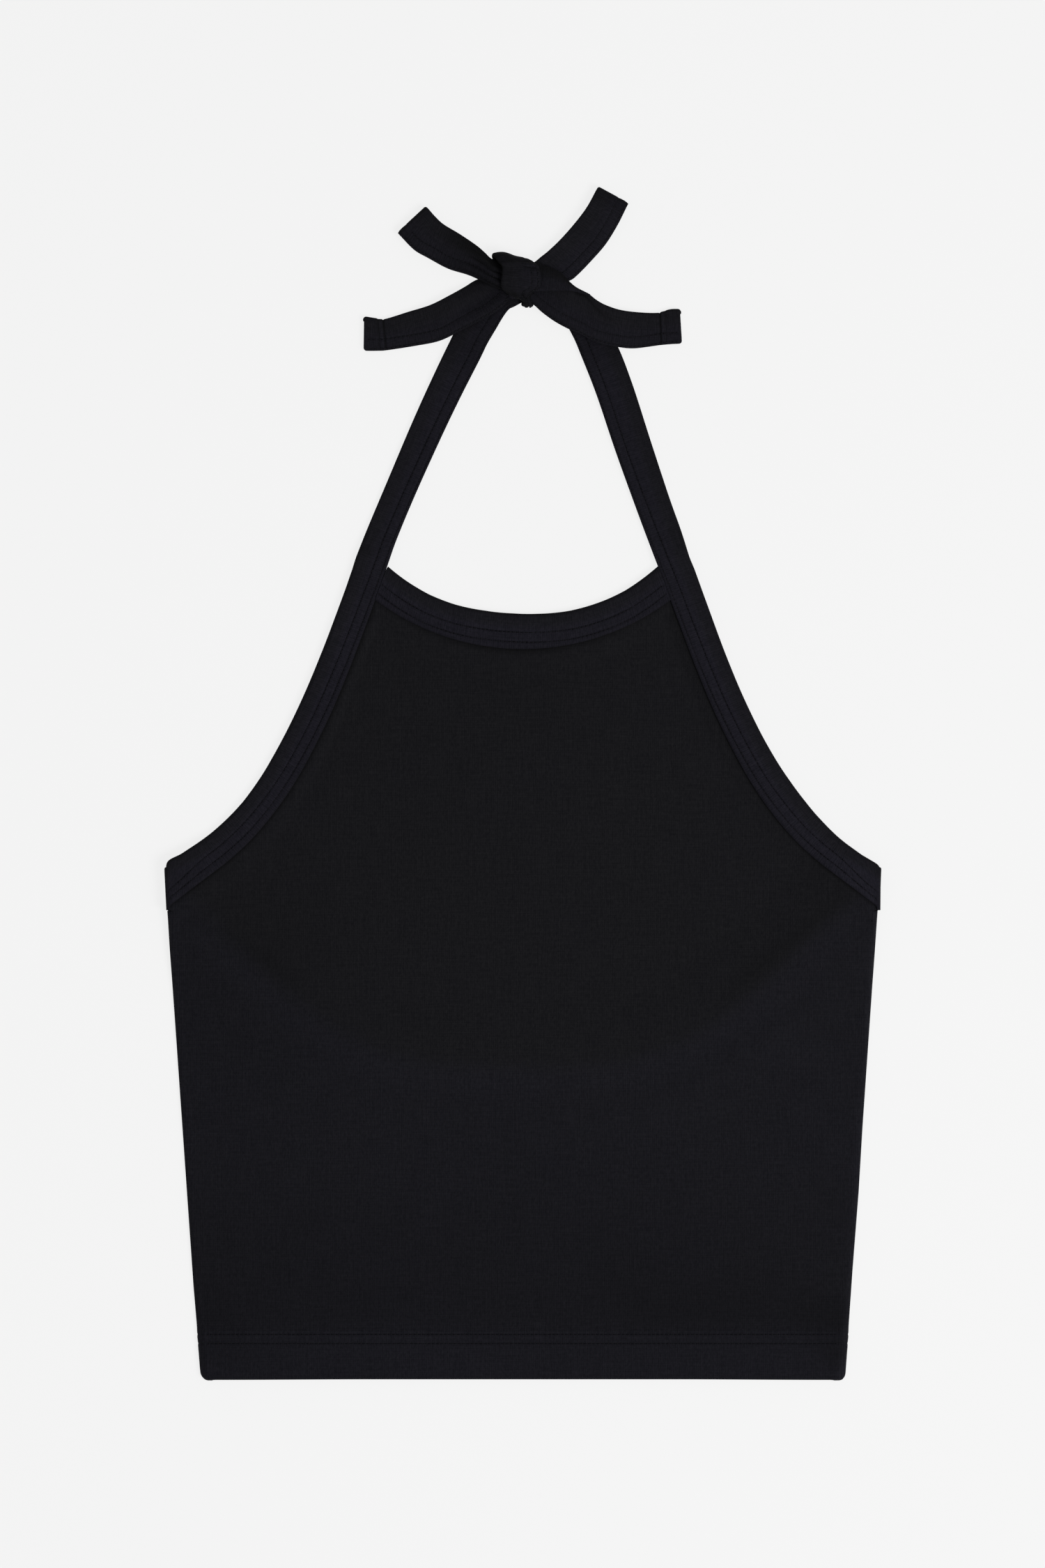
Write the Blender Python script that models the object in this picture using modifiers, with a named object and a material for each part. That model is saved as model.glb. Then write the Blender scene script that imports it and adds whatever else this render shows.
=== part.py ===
"""Halter neck top of fine rib jersey, laid flat on its back and tied in a bow at the nape.

Run with: blender --background --python part.py
+X is across the garment, +Y runs from the hem to the bow, +Z is up off the surface it lies on.
The origin is the middle of the outline, on that surface. Lengths below are millimetres, and
heights up the garment are counted from the hem's edge.
"""
import math
from collections import namedtuple

import bmesh
import bpy
import numpy as np

MM = 0.001
COLLECTION = "halter_neck_top"

# ---- driving dimensions, millimetres --------------------------------------------------
LENGTH = 633.0          # hem to the highest point of the bow
WALL = 1.0              # one layer of jersey
GAP = 0.3               # between layers and at seams
HEM_WALL = 1.8          # two layers where the hem is turned up
HEM_DEPTH = 24.4
HEM_FADE = 3.0
HEM_HALF = 171.0
HEM_CORNER = 3.5
SIDE_TOP_HALF = 188.0
SIDE_TOP = 244.0
PIT_HALF = 190.0        # the binding stands a little proud of the side seam
PIT_LOW = 249.5
BACK_SIDE = 186.8       # how far the back reaches under the side's rounded edge
BINDING = 17.3
NECK_BINDING = 18.3
NECK_RADIUS = 112.8
NECK_LOW = 406.4
NECK_HALF_ANGLE = 39.5          # degrees, at the neckline
NECK_HALF_ANGLE_LOW = 36.7      # degrees, at the binding's lower edge
RAW_EDGE = 1.4          # the panel's cut edge inside the binding's fold
STRAP_SLOT = 0.2        # between the two sides of the closed strap
TAPE = 2.2              # the tie's folded strip, flat
BOUND = 2 * WALL + 2 * GAP + WALL       # binding with the panel inside it
SLOT = WALL + 2 * GAP

Side = namedtuple("Side", "sign name")
LEFT, RIGHT = Side(-1, "left"), Side(1, "right")

Point = namedtuple("Point", "x y")
ARMHOLE = [             # the armhole's outer edge, side to strap
    Point(190.0, 272.5), Point(178.3, 280.6), Point(165.5, 290.4), Point(152.4, 303.4),
    Point(139.0, 321.0), Point(127.7, 340.4), Point(116.9, 362.6), Point(107.7, 384.8),
    Point(99.3, 407.0), Point(91.2, 429.2), Point(86.0, 443.6),
]
SCOOP = [               # the back's top edge, centre to side
    Point(0.0, 167.0), Point(30.0, 168.0), Point(62.0, 172.5), Point(93.0, 185.0),
    Point(118.0, 203.0), Point(140.0, 223.0), Point(160.0, 242.0), Point(188.5, 270.5),
]

StrapRow = namedtuple("StrapRow", "x y width")
STRAP = {               # centreline from above the neckline to the knot
    "left": [
        StrapRow(74.6, 449.5, 16.6), StrapRow(64.6, 473.6, 16.3), StrapRow(51.7, 503.2, 17.0),
        StrapRow(41.4, 525.4, 17.6), StrapRow(31.3, 545.8, 18.3), StrapRow(26.6, 554.6, 18.0),
        StrapRow(19.6, 563.6, 14.5), StrapRow(11.6, 570.4, 8.4),
    ],
    "right": [
        StrapRow(75.4, 448.2, 18.0), StrapRow(68.8, 466.2, 18.4), StrapRow(58.7, 495.8, 19.2),
        StrapRow(48.9, 525.4, 19.6), StrapRow(40.9, 545.8, 19.6), StrapRow(33.6, 558.6, 17.0),
        StrapRow(23.4, 569.4, 11.5), StrapRow(10.6, 576.6, 7.6),
    ],
}

TieRow = namedtuple("TieRow", "x y z width")
LOOP_LEFT = [           # top layer, knot to fold; z is the middle of the strip
    TieRow(-12.3, 587.0, 6.6, 13.0), TieRow(-18.5, 590.0, 6.0, 14.0), TieRow(-25.5, 593.2, 5.2, 15.8),
    TieRow(-35.0, 598.4, 4.3, 17.6), TieRow(-47.6, 606.5, 3.7, 18.6), TieRow(-57.4, 614.4, 3.6, 19.2),
]
LOOP_RIGHT = [
    TieRow(12.8, 585.4, 3.6, 16.0), TieRow(20.6, 592.8, 3.6, 18.0), TieRow(31.8, 604.2, 3.6, 18.3),
    TieRow(41.6, 617.6, 3.6, 17.6), TieRow(47.2, 627.2, 3.6, 17.6),
]
TAIL_LEFT = [
    TieRow(-12.4, 574.6, 3.7, 9.2), TieRow(-19.6, 574.2, 3.7, 15.0), TieRow(-32.3, 568.0, 3.7, 18.8),
    TieRow(-42.0, 563.2, 3.6, 18.8), TieRow(-52.0, 559.4, 2.4, 18.4), TieRow(-62.5, 556.8, 1.2, 18.0),
    TieRow(-71.6, 555.0, 1.12, 17.0), TieRow(-83.4, 555.2, 1.12, 17.9),
]
TAIL_RIGHT = [
    TieRow(6.7, 582.1, 6.4, 22.6), TieRow(13.6, 577.6, 6.4, 22.4), TieRow(20.6, 573.3, 6.1, 21.8),
    TieRow(30.8, 566.3, 4.8, 20.8), TieRow(45.7, 559.7, 3.9, 19.4), TieRow(53.0, 557.9, 3.3, 19.2),
    TieRow(61.0, 557.3, 2.1, 18.8),
    TieRow(73.0, 558.1, 1.15, 17.7), TieRow(83.2, 559.3, 1.12, 18.6),
]
TAIL_HEM = 11.0         # the end of a tail, turned in and sewn
TAIL_HEM_EXTRA = 0.5    # thicker there

KnotRow = namedtuple("KnotRow", "x y half_y top")
KNOT_WRAP = [           # slices across the wrap: middle, half length and height
    KnotRow(-11.8, 584.6, 6.4, 8.6), KnotRow(-10.6, 584.6, 8.2, 9.8), KnotRow(-7.0, 584.2, 9.2, 10.6),
    KnotRow(-2.8, 583.9, 9.1, 10.8), KnotRow(1.6, 583.7, 9.0, 10.6), KnotRow(5.0, 583.8, 8.4, 9.9),
    KnotRow(6.2, 583.8, 6.6, 8.8),
]
RollRow = namedtuple("RollRow", "x y z half_y half_z")
KNOT_ROLL = [           # the strand that turns over above the wrap
    RollRow(-14.6, 598.9, 7.0, 1.2, 1.2), RollRow(-13.3, 598.7, 6.9, 2.2, 2.3),
    RollRow(-10.4, 597.8, 6.3, 3.1, 3.1), RollRow(-4.6, 596.9, 6.0, 3.0, 3.1),
    RollRow(1.4, 595.7, 5.8, 2.3, 2.6), RollRow(5.0, 594.9, 5.4, 1.2, 1.5),
]
KNOT_NUB = [            # the strand that shows below it
    RollRow(-1.2, 572.0, 3.2, 1.0, 1.4), RollRow(0.2, 571.8, 3.2, 2.2, 2.5),
    RollRow(2.6, 571.7, 3.2, 2.5, 2.9), RollRow(4.9, 571.8, 3.2, 2.1, 2.4),
    RollRow(6.2, 572.0, 3.2, 1.0, 1.3),
]

# ---- the lie of the layers -------------------------------------------------------------
LIFT_OVER_BACK = WALL + GAP             # the front's underside over the plain back
LIFT_OVER_BINDING = BOUND + GAP         # and over the back's binding
CREST_LOW = BINDING + 3.5               # the front stays up from here, below the back's edge
CREST_HIGH = -5.0                       # to here, just past it
RAMP_LOW = 12.0
RAMP_HIGH = 14.0
SINK = 15.0                             # from a binding down to the panel's own level
CURL_TOP = 247.0                        # the side's rounded edge ends under the binding


def smooth(t):
    t = min(max(t, 0.0), 1.0)
    return t * t * (3.0 - 2.0 * t)


def through(points, steps=12):
    """A smooth curve through the points, as an array with steps points for each stretch."""
    p = np.array(points, float)
    p = np.vstack([2 * p[0] - p[1], p, 2 * p[-1] - p[-2]])
    t = np.linspace(0, 1, steps, endpoint=False)[:, None]
    runs = []
    for a, b, c, d in zip(p[:-3], p[1:-2], p[2:-1], p[3:]):
        runs.append(0.5 * (2 * b + (c - a) * t + (2 * a - 5 * b + 4 * c - d) * t ** 2
                           + (3 * b - a - 3 * c + d) * t ** 3))
    return np.vstack(runs + [p[-2:-1]])


def at_lengths(curve, lengths):
    """Points of a curve at the given distances along it."""
    steps = np.linalg.norm(np.diff(curve[:, :2], axis=0), axis=1)
    run = np.concatenate([[0], np.cumsum(steps)])
    return np.stack([np.interp(lengths, run, curve[:, k]) for k in range(curve.shape[1])], axis=1)


def length_of(curve):
    return float(np.linalg.norm(np.diff(curve[:, :2], axis=0), axis=1).sum())


SCOOP_CURVE = through(SCOOP)
ARMHOLE_CURVE = through(ARMHOLE)


def below_scoop(x, y):
    """Distance below the back's top edge, negative above it."""
    a, b = SCOOP_CURVE[:-1], SCOOP_CURVE[1:]
    q = np.array([abs(x), y])
    d = b - a
    t = np.clip(((q - a) * d).sum(1) / (d * d).sum(1), 0, 1)
    away = q - (a + d * t[:, None])
    far = np.linalg.norm(away, axis=1)
    k = int(far.argmin())
    side = d[k][0] * (q - a[k])[1] - d[k][1] * (q - a[k])[0]
    return float(-far[k] if side > 0 else far[k])


def hem_share(y):
    return 1.0 - smooth((y - HEM_DEPTH) / HEM_FADE)


def front_lift(x, y):
    """Height of what the front lies on."""
    d = below_scoop(x, y)
    if d < CREST_HIGH:
        return LIFT_OVER_BINDING * (1.0 - smooth((CREST_HIGH - d) / RAMP_HIGH))
    over_back = LIFT_OVER_BACK + (HEM_WALL - WALL) * hem_share(y)
    return over_back + (LIFT_OVER_BINDING - over_back) * (1.0 - smooth((d - CREST_LOW) / RAMP_LOW))


def half_width(y):
    """The side seam, with the hem's small round corner."""
    straight = HEM_HALF + (SIDE_TOP_HALF - HEM_HALF) * min(y, SIDE_TOP + 5.0) / SIDE_TOP
    if y >= HEM_CORNER:
        return straight
    return straight - HEM_CORNER + math.sqrt(HEM_CORNER ** 2 - (HEM_CORNER - max(y, 0.0)) ** 2)


# ---- meshes ----------------------------------------------------------------------------
def clear_scene():
    for thing in list(bpy.data.objects):
        bpy.data.objects.remove(thing, do_unlink=True)


def jersey(name, colour, roughness):
    material = bpy.data.materials.new(name)
    material.use_nodes = True
    shader = material.node_tree.nodes["Principled BSDF"]
    shader.inputs["Base Color"].default_value = (*colour, 1.0)
    shader.inputs["Roughness"].default_value = roughness
    shader.inputs["Metallic"].default_value = 0.0
    return material


def place(point):
    """Millimetres counted from the hem, as metres about the origin."""
    return (point[0] * MM, (point[1] - LENGTH / 2) * MM, point[2] * MM)


def add_object(name, bm, material):
    mesh = bpy.data.meshes.new(name)
    bm.to_mesh(mesh)
    bm.free()
    mesh.materials.append(material)
    thing = bpy.data.objects.new(name, mesh)
    bpy.data.collections[COLLECTION].objects.link(thing)
    mesh.shade_smooth()
    mesh.set_sharp_from_angle(angle=math.radians(40))
    return thing


def surface(name, rows, material, keep=None, flip=False, crossed=0):
    """An open surface from rows of points. Its first crossed columns are split the other way."""
    bm = bmesh.new()
    verts = [[bm.verts.new(place(p)) for p in row] for row in rows]
    for i in range(len(rows) - 1):
        for j in range(len(rows[i]) - 1):
            if keep and not keep(i, j):
                continue
            quad = [verts[i][j], verts[i][j + 1], verts[i + 1][j + 1], verts[i + 1][j]]
            if j < crossed:
                quad = quad[1:] + quad[:1]
            for tri in ((quad[0], quad[1], quad[2]), (quad[0], quad[2], quad[3])):
                bm.faces.new(reversed(tri) if flip else tri)
    loose = [v for v in bm.verts if not v.link_faces]
    bmesh.ops.delete(bm, geom=loose, context="VERTS")
    return add_object(name, bm, material)


def mirror(thing):
    modifier = thing.modifiers.new("other_half", "MIRROR")
    modifier.use_axis = (True, False, False)
    modifier.use_mirror_merge = True
    modifier.merge_threshold = 0.00005


def thicken(thing, wall=WALL, group=None, least=1.0):
    modifier = thing.modifiers.new("cloth", "SOLIDIFY")
    modifier.thickness = wall * MM
    modifier.offset = 1.0
    if group:
        modifier.vertex_group = group
        modifier.thickness_vertex_group = least


def hem_group(thing, lowest=0.0):
    """Weights for the second layer of the turned hem; the turned-down side below lowest has none."""
    group = thing.vertex_groups.new(name="hem")
    for v in thing.data.vertices:
        doubled = hem_share(v.co.y / MM + LENGTH / 2) if v.co.z / MM > lowest - 0.01 else 0.0
        group.add([v.index], doubled, "REPLACE")
    return group.name


def loft(name, rings, material):
    """A closed solid through rings of points, with flat ends."""
    bm = bmesh.new()
    verts = [[bm.verts.new(place(p)) for p in ring] for ring in rings]
    n = len(rings[0])
    for a, b in zip(verts[:-1], verts[1:]):
        for k in range(n):
            bm.faces.new((a[k], a[(k + 1) % n], b[(k + 1) % n], b[k]))
    bm.faces.new(reversed(verts[0]))
    bm.faces.new(verts[-1])
    bmesh.ops.recalc_face_normals(bm, faces=bm.faces)
    return add_object(name, bm, material)


# ---- edges that carry a binding --------------------------------------------------------
Section = namedtuple("Section", "outer inner")      # a binding's width at one station


def armhole_sections(lengths):
    """From the side up to the strap, square to the edge but upright at the side itself."""
    fan = 26.0
    on = at_lengths(ARMHOLE_CURVE, lengths)
    ahead = at_lengths(ARMHOLE_CURVE, np.array(lengths) + 0.5)
    behind = at_lengths(ARMHOLE_CURVE, np.maximum(np.array(lengths) - 0.5, 0))
    along = ahead - behind
    along /= np.linalg.norm(along, axis=1)[:, None]
    made = []
    for s, edge, way in zip(lengths, on, along):
        square = edge + BINDING * np.array([way[1] * -1, way[0]])
        upright = np.array([PIT_HALF, PIT_LOW])
        made.append(Section(edge, upright + (square - upright) * smooth(s / fan)))
    return made


def scoop_sections(count, low=PIT_LOW):
    """From the centre to the side of the back's top edge, upright at the side down to low."""
    fan = 26.0
    whole = length_of(SCOOP_CURVE)
    near_side = whole - fan * np.array([0.72, 0.46, 0.22, 0.0])
    lengths = np.concatenate([np.linspace(0, whole - fan, count - 4), near_side])
    on = at_lengths(SCOOP_CURVE, lengths)
    along = at_lengths(SCOOP_CURVE, lengths + 0.5) - at_lengths(SCOOP_CURVE, np.maximum(lengths - 0.5, 0))
    along[0] = (1.0, 0.0)
    along /= np.linalg.norm(along, axis=1)[:, None]
    square = on + BINDING * np.stack([along[:, 1], -along[:, 0]], axis=1)
    turning = square[count - 5]
    upright = np.array([SCOOP[-1].x, low])
    for k in range(count - 4, count):
        square[k] = turning + (upright - turning) * (lengths[k] - (whole - fan)) / fan
    return [Section(edge, inner) for edge, inner in zip(on, square)]


def neck_section(v):
    """v is 0 at the centre and 1 where the armhole binding crosses the neck binding."""
    centre = NECK_LOW + NECK_RADIUS
    high, low = math.radians(NECK_HALF_ANGLE) * v, math.radians(NECK_HALF_ANGLE_LOW) * v
    deep = NECK_RADIUS + NECK_BINDING
    return Section(np.array([NECK_RADIUS * math.sin(high), centre - NECK_RADIUS * math.cos(high)]),
                   np.array([deep * math.sin(low), centre - deep * math.cos(low)]))


def across(section, r):
    """The point r mm in from a section's outer edge."""
    way = section.inner - section.outer
    return section.outer + way * (r / np.linalg.norm(way))


def folded(section, lift, slot):
    """Inner face of a strip folded round an edge: over it, round the fold and back under."""
    width = float(np.linalg.norm(section.inner - section.outer))
    half = slot / 2
    points = []
    for sign in (1, -1):
        run = [width, width / 2, WALL + half]
        if sign < 0:
            run.reverse()
        leg = []
        for r in run:
            x, y = across(section, r)
            leg.append((x, y, lift(x, y) + WALL + half + sign * half))
        x, y = across(section, WALL + half * (1 - math.sin(math.radians(45))))
        bend = (x, y, lift(x, y) + WALL + half + sign * half * math.cos(math.radians(45)))
        points.append(leg + [bend] if sign > 0 else [bend] + leg)
    x, y = across(section, WALL)
    return points[0] + [(x, y, lift(x, y) + WALL + half)] + points[1]


# ---- the pieces ------------------------------------------------------------------------
ARMHOLE_LENGTHS = [0, 6, 13, 21, 30, 41, 55, 72, 92, 114, 137, 160, 180]
HEM_ROWS = [0.0, 1.2, HEM_CORNER, 20.0, HEM_DEPTH, HEM_DEPTH + HEM_FADE]
RIDGE = [CREST_LOW + RAMP_LOW, CREST_LOW + 5.0, CREST_LOW, 9.0, CREST_HIGH,
         CREST_HIGH - 5.0, CREST_HIGH - 9.0, CREST_HIGH - RAMP_HIGH]


def front_columns():
    """Sections round the right half of the front's bound edge, from the neck's centre to the side."""
    mitre = neck_section(1.0).inner
    columns = [neck_section(v) for v in np.linspace(0, 1, 7)[:-1]]
    corner = Section(np.array([85.6, 434.6]), mitre)
    rim = [s for s in armhole_sections(ARMHOLE_LENGTHS) if s.inner[1] < mitre[1] - 8.0]
    return columns, corner, rim[::-1]


def column_rows(top, hem_share_x):
    """Points up one column of the front, from the hem to the binding's inner edge."""
    top_share = min(top[0] / half_width(top[1]), 1.0)

    def x_at(y):
        return (half_width(y) - 3.0) * (hem_share_x + (top_share - hem_share_x) * smooth(y / top[1]))

    heights = list(HEM_ROWS) + [70.0, 105.0]
    for d in RIDGE:
        y = 160.0
        for _ in range(4):
            x = abs(x_at(y))
            y0, y1 = (np.interp(x + e, SCOOP_CURVE[:, 0], SCOOP_CURVE[:, 1]) for e in (-1.0, 1.0))
            y = (y0 + y1) / 2 - d * math.hypot(1.0, (y1 - y0) / 2)
        heights.append(max(y, heights[-1] + 4.0))
    free = max(top[1] - SINK - heights[-1], 20.0)
    heights += [heights[-1] + free * k / 4 for k in (1, 2, 3, 4)]
    heights.append(top[1])
    least = 2.6
    for k in range(len(heights) - 2, 0, -1):
        heights[k] = min(heights[k], heights[k + 1] - least)
    return [(x_at(y), y) for y in heights[:-1]]


def front_panel(material):
    neck, corner, rim = front_columns()
    sections = neck + [corner] + rim
    last = len(sections) - 1
    columns = []
    for j, section in enumerate(sections):
        top = section.inner
        rows = []
        for x, y in column_rows(top, j / last):
            reach = math.hypot(x - top[0], y - top[1])
            held = (WALL + GAP) * (1.0 - smooth(reach / SINK))
            rows.append((x, y, front_lift(x, y) + held))
        width = float(np.linalg.norm(section.inner - section.outer))
        raw = RAW_EDGE if section is not corner else 0.0
        for r in (width, width / 2, raw):
            x, y = across(section, r)
            x = min(x, PIT_HALF - 1.8)
            rows.append((x, y, front_lift(x, y) + WALL + GAP))
        columns.append(rows)
    columns += side_curl(columns[-1])
    grid = [[column[k] for column in columns] for k in range(len(columns[0]))]
    curled = len(sections) - 1

    def keep(i, j):
        return j < curled or grid[i + 1][j][1] <= CURL_TOP + 0.01

    thing = surface("front_panel", grid, material, keep)
    mirror(thing)
    hem_level = LIFT_OVER_BACK + HEM_WALL - WALL
    thicken(thing, HEM_WALL, hem_group(thing, hem_level), WALL / HEM_WALL)
    return thing


def side_curl(edge):
    """Three columns that turn the front's side down to the surface it lies on."""
    made = [[], [], []]
    for x, y, z in edge:
        w = half_width(y)
        inset = HEM_WALL * max(0.0, 1.0 - y / HEM_CORNER)
        made[0].append((w - 1.5, y + 0.2 * inset, z - 0.35))
        made[1].append((w - WALL, y + 0.3 * inset, z - 1.0))
        made[2].append((w - WALL, y + 0.3 * inset, 0.0))
    return made


def back_panel(material):
    sections = scoop_sections(13, PIT_LOW - 3.5)
    last = len(sections) - 1
    columns = []
    for j, section in enumerate(sections):
        top = section.inner
        heights = list(HEM_ROWS) + [70.0, 110.0, top[1] - 12.0, top[1] - 6.0]
        for k in range(len(heights) - 2, 0, -1):
            heights[k] = min(heights[k], heights[k + 1] - 2.6)
        rows = []
        for y in heights:
            share = j / last + (top[0] / SCOOP[-1].x - j / last) * smooth(y / top[1])
            x = share * (half_width(y) - 1.9 - 4.2 * max(0.0, 1.0 - y / HEM_CORNER))
            rows.append((x, y, (WALL + GAP) * (1.0 - smooth((top[1] - 6.0 - y) / 6.0))))
        width = float(np.linalg.norm(section.inner - section.outer))
        shy = (SCOOP[-1].x - BACK_SIDE) * max(0.0, 1.0 - (last - j) / 4)
        for r in (width, width / 2, RAW_EDGE + shy):
            x, y = across(section, r)
            rows.append((x - shy, y, WALL + GAP))
        columns.append(rows)
    grid = [[column[k] for column in columns] for k in range(len(columns[0]))]
    thing = surface("back_panel", grid, material)
    mirror(thing)
    thicken(thing, HEM_WALL, hem_group(thing), WALL / HEM_WALL)
    return thing


def flat(_x, _y):
    return 0.0


def neck_binding(material):
    reach = 1.0 - 0.45 / (NECK_RADIUS * math.radians(NECK_HALF_ANGLE))
    rows = [folded(neck_section(v), flat, SLOT) for v in np.linspace(-reach, reach, 15)]
    thing = surface("neck_binding", rows, material, flip=True)
    thicken(thing)
    return thing


def back_binding(material):
    rows = [folded(section, flat, SLOT) for section in scoop_sections(13)]
    thing = surface("back_binding", rows, material, flip=True)
    mirror(thing)
    thicken(thing)
    return thing


def armhole_strap(side, material):
    """Binding from the side to the neckline, then the closed strap up to the knot."""
    corner = neck_section(1.0).outer
    bound = [s for s in armhole_sections(ARMHOLE_LENGTHS) if s.inner[1] < corner[1] - 6.0]
    rows = [folded(section, front_lift, SLOT) for section in bound]
    strap = through([StrapRow(79.9, 435.1, BINDING)] + STRAP[side.name], 2)
    for k, (x, y, width) in enumerate(strap):
        ahead, behind = strap[min(k + 1, len(strap) - 1)], strap[max(k - 1, 0)]
        way = ahead[:2] - behind[:2]
        way /= np.linalg.norm(way)
        out = np.array([way[1], -way[0]]) * width / 2
        middle = np.array([x, y])
        slot = STRAP_SLOT + (SLOT - STRAP_SLOT) * (1.0 - smooth((y - 436.0) / 16.0))
        rows.append(folded(Section(middle + out, middle - out), flat, slot))
    wrap = [[(PIT_HALF - WALL - 0.35, y, z - 0.3) for _, y, z in rows[0]],
            [(PIT_HALF - WALL, y, z - 1.0) for _, y, z in rows[0]],
            [(PIT_HALF - WALL, y, 0.0) for _, y, z in rows[0]]]
    rows[0] = [(min(x, PIT_HALF - 1.8), y, z) for x, y, z in rows[0]]
    grid = wrap[::-1] + rows
    grid = [[(side.sign * x, y, z) for x, y, z in row] for row in grid]
    over_the_edge = 4

    def keep(i, j):
        return i >= len(wrap) or j < over_the_edge

    thing = surface(f"armhole_strap_{side.name}", grid, material, keep, side.sign < 0, over_the_edge)
    thicken(thing)
    return thing


def strip_ring(middle, way, across_way, width, thick):
    """Eight points round a flat strip with rounded edges."""
    up = np.cross(across_way, way)
    up /= np.linalg.norm(up)
    a, b = width / 2, thick / 2
    c = b * 0.75
    corner = [(a, -b + c), (a, b - c), (a - c, b)]
    half = corner + [(-u, v) for u, v in corner[::-1]]
    shape = half + [(-a + c, -b), (a - c, -b)]
    return [tuple(middle + across_way * u + up * v) for u, v in shape]


def strip(name, rows, material, upright=()):
    """A solid strip along rows of x, y, z, width and thickness; sections named in upright lie along Y."""
    rows = np.array(rows, float)
    rings = []
    across_way = None
    for k, row in enumerate(rows):
        way = rows[min(k + 1, len(rows) - 1)][:3] - rows[max(k - 1, 0)][:3]
        way /= np.linalg.norm(way)
        level = np.array([way[1], -way[0], 0.0])
        if np.linalg.norm(level) > 0.25:
            level /= np.linalg.norm(level)
            if across_way is not None and level @ across_way < 0:
                level = -level
            across_way = level
        if k in upright:
            lean = upright[k]
            across_way = across_way * (1 - lean) + np.array([0.0, math.copysign(lean, across_way[1]), 0.0])
            across_way /= np.linalg.norm(across_way)
        rings.append(strip_ring(row[:3], way, across_way, row[3], row[4]))
    return loft(name, rings, material)


def loop(name, table, material):
    """The strip runs out from the knot, turns under itself and comes back beneath."""
    top = through(table, 2)
    radius = (TAPE + GAP) / 2
    out = top[-1][:2] - top[-3][:2]
    out /= np.linalg.norm(out)
    rows = [(*p[:3], p[3], TAPE) for p in top]
    end = top[-1]
    for angle in (60, 30, 0, -30, -60):
        a = math.radians(angle)
        reach = radius * math.cos(a)
        rows.append((end[0] + out[0] * reach, end[1] + out[1] * reach,
                     end[2] - radius + radius * math.sin(a), end[3], TAPE))
    for p in top[::-1]:
        rows.append((p[0], p[1], p[2] - 2 * radius, p[3], TAPE))
    last = len(rows) - 1
    upright = {0: 1.0, 1: 0.6, last: 1.0, last - 1: 0.6} if name == "loop_left" else {}
    return strip(name, rows, material, upright)


def tail(name, table, material):
    """A free end, thicker where it is turned in and hemmed."""
    curve = through(table, 3)
    whole = length_of(curve)
    hem = [whole - TAIL_HEM - 0.8, whole - TAIL_HEM + 0.4, whole]
    lengths = list(np.linspace(0, whole - TAIL_HEM - 5.0, 15)) + hem
    rows = []
    for s, p in zip(lengths, at_lengths(curve, np.array(lengths))):
        extra = TAIL_HEM_EXTRA if s > whole - TAIL_HEM else 0.0
        rows.append((p[0], p[1], p[2] + extra / 2, p[3], TAPE + extra))
    return strip(name, rows, material, {0: 1.0, 1: 0.6})


def knot_wrap(material):
    """The strip's turn round the bow: rounded slices, flat where they rest."""
    count = 18
    rings = []
    for row in KNOT_WRAP:
        ring = []
        for k in range(count):
            a = 2 * math.pi * k / count
            y = math.copysign(abs(math.cos(a)) ** 0.72, math.cos(a)) * row.half_y
            z = math.copysign(abs(math.sin(a)) ** 0.72, math.sin(a)) * row.top / 2
            ring.append((row.x, row.y + y, max(row.top / 2 + z, 0.0)))
        rings.append(ring)
    return loft("knot_wrap", rings, material)


def roll(name, table, material):
    count = 10
    rings = []
    for row in table:
        ring = []
        for k in range(count):
            a = 2 * math.pi * k / count
            ring.append((row.x, row.y + row.half_y * math.cos(a), row.z + row.half_z * math.sin(a)))
        rings.append(ring)
    return loft(name, rings, material)


def build():
    clear_scene()
    collection = bpy.data.collections.new(COLLECTION)
    bpy.context.scene.collection.children.link(collection)
    body = jersey("body_jersey", (0.0092, 0.0090, 0.0110), 0.9)
    binding = jersey("binding_jersey", (0.0098, 0.0094, 0.0122), 0.88)
    back_panel(body)
    front_panel(body)
    back_binding(binding)
    neck_binding(binding)
    for side in (LEFT, RIGHT):
        armhole_strap(side, binding)
    loop("loop_left", LOOP_LEFT, binding)
    loop("loop_right", LOOP_RIGHT, binding)
    tail("tail_left", TAIL_LEFT, binding)
    tail("tail_right", TAIL_RIGHT, binding)
    knot_wrap(binding)
    roll("knot_roll", KNOT_ROLL, binding)
    roll("knot_nub", KNOT_NUB, binding)


build()
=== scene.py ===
"""Looks of the halter neck top: fine shells of rib jersey, sewing, the bow, light and camera.

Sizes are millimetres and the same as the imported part's; heights up the garment are counted from
the hem's edge. +X is across the garment, +Y from the hem to the bow, +Z up off the surface.
"""
import math

import bpy
import numpy as np
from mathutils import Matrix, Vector


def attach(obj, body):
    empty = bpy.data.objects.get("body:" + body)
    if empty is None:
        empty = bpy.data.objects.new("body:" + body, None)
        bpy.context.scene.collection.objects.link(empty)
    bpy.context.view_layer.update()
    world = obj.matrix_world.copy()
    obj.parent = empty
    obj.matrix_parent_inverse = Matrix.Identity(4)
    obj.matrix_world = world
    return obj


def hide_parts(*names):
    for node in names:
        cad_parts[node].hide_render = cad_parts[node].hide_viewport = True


MM = 0.001
RNG = np.random.default_rng(11)

# ---- sizes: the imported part's, and how the cloth lies -------------------------------------
LENGTH = 633.0
WALL = 1.0
GAP = 0.3
HEM_WALL = 1.8
HEM_DEPTH = 24.4
HEM_RISE_TOP = 16.0     # up to here the hem's middle is drawn up
HEM_HALF = 171.0
HEM_CORNER = 3.5
SIDE_TOP_HALF = 188.0
SIDE_TOP = 244.0
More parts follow.
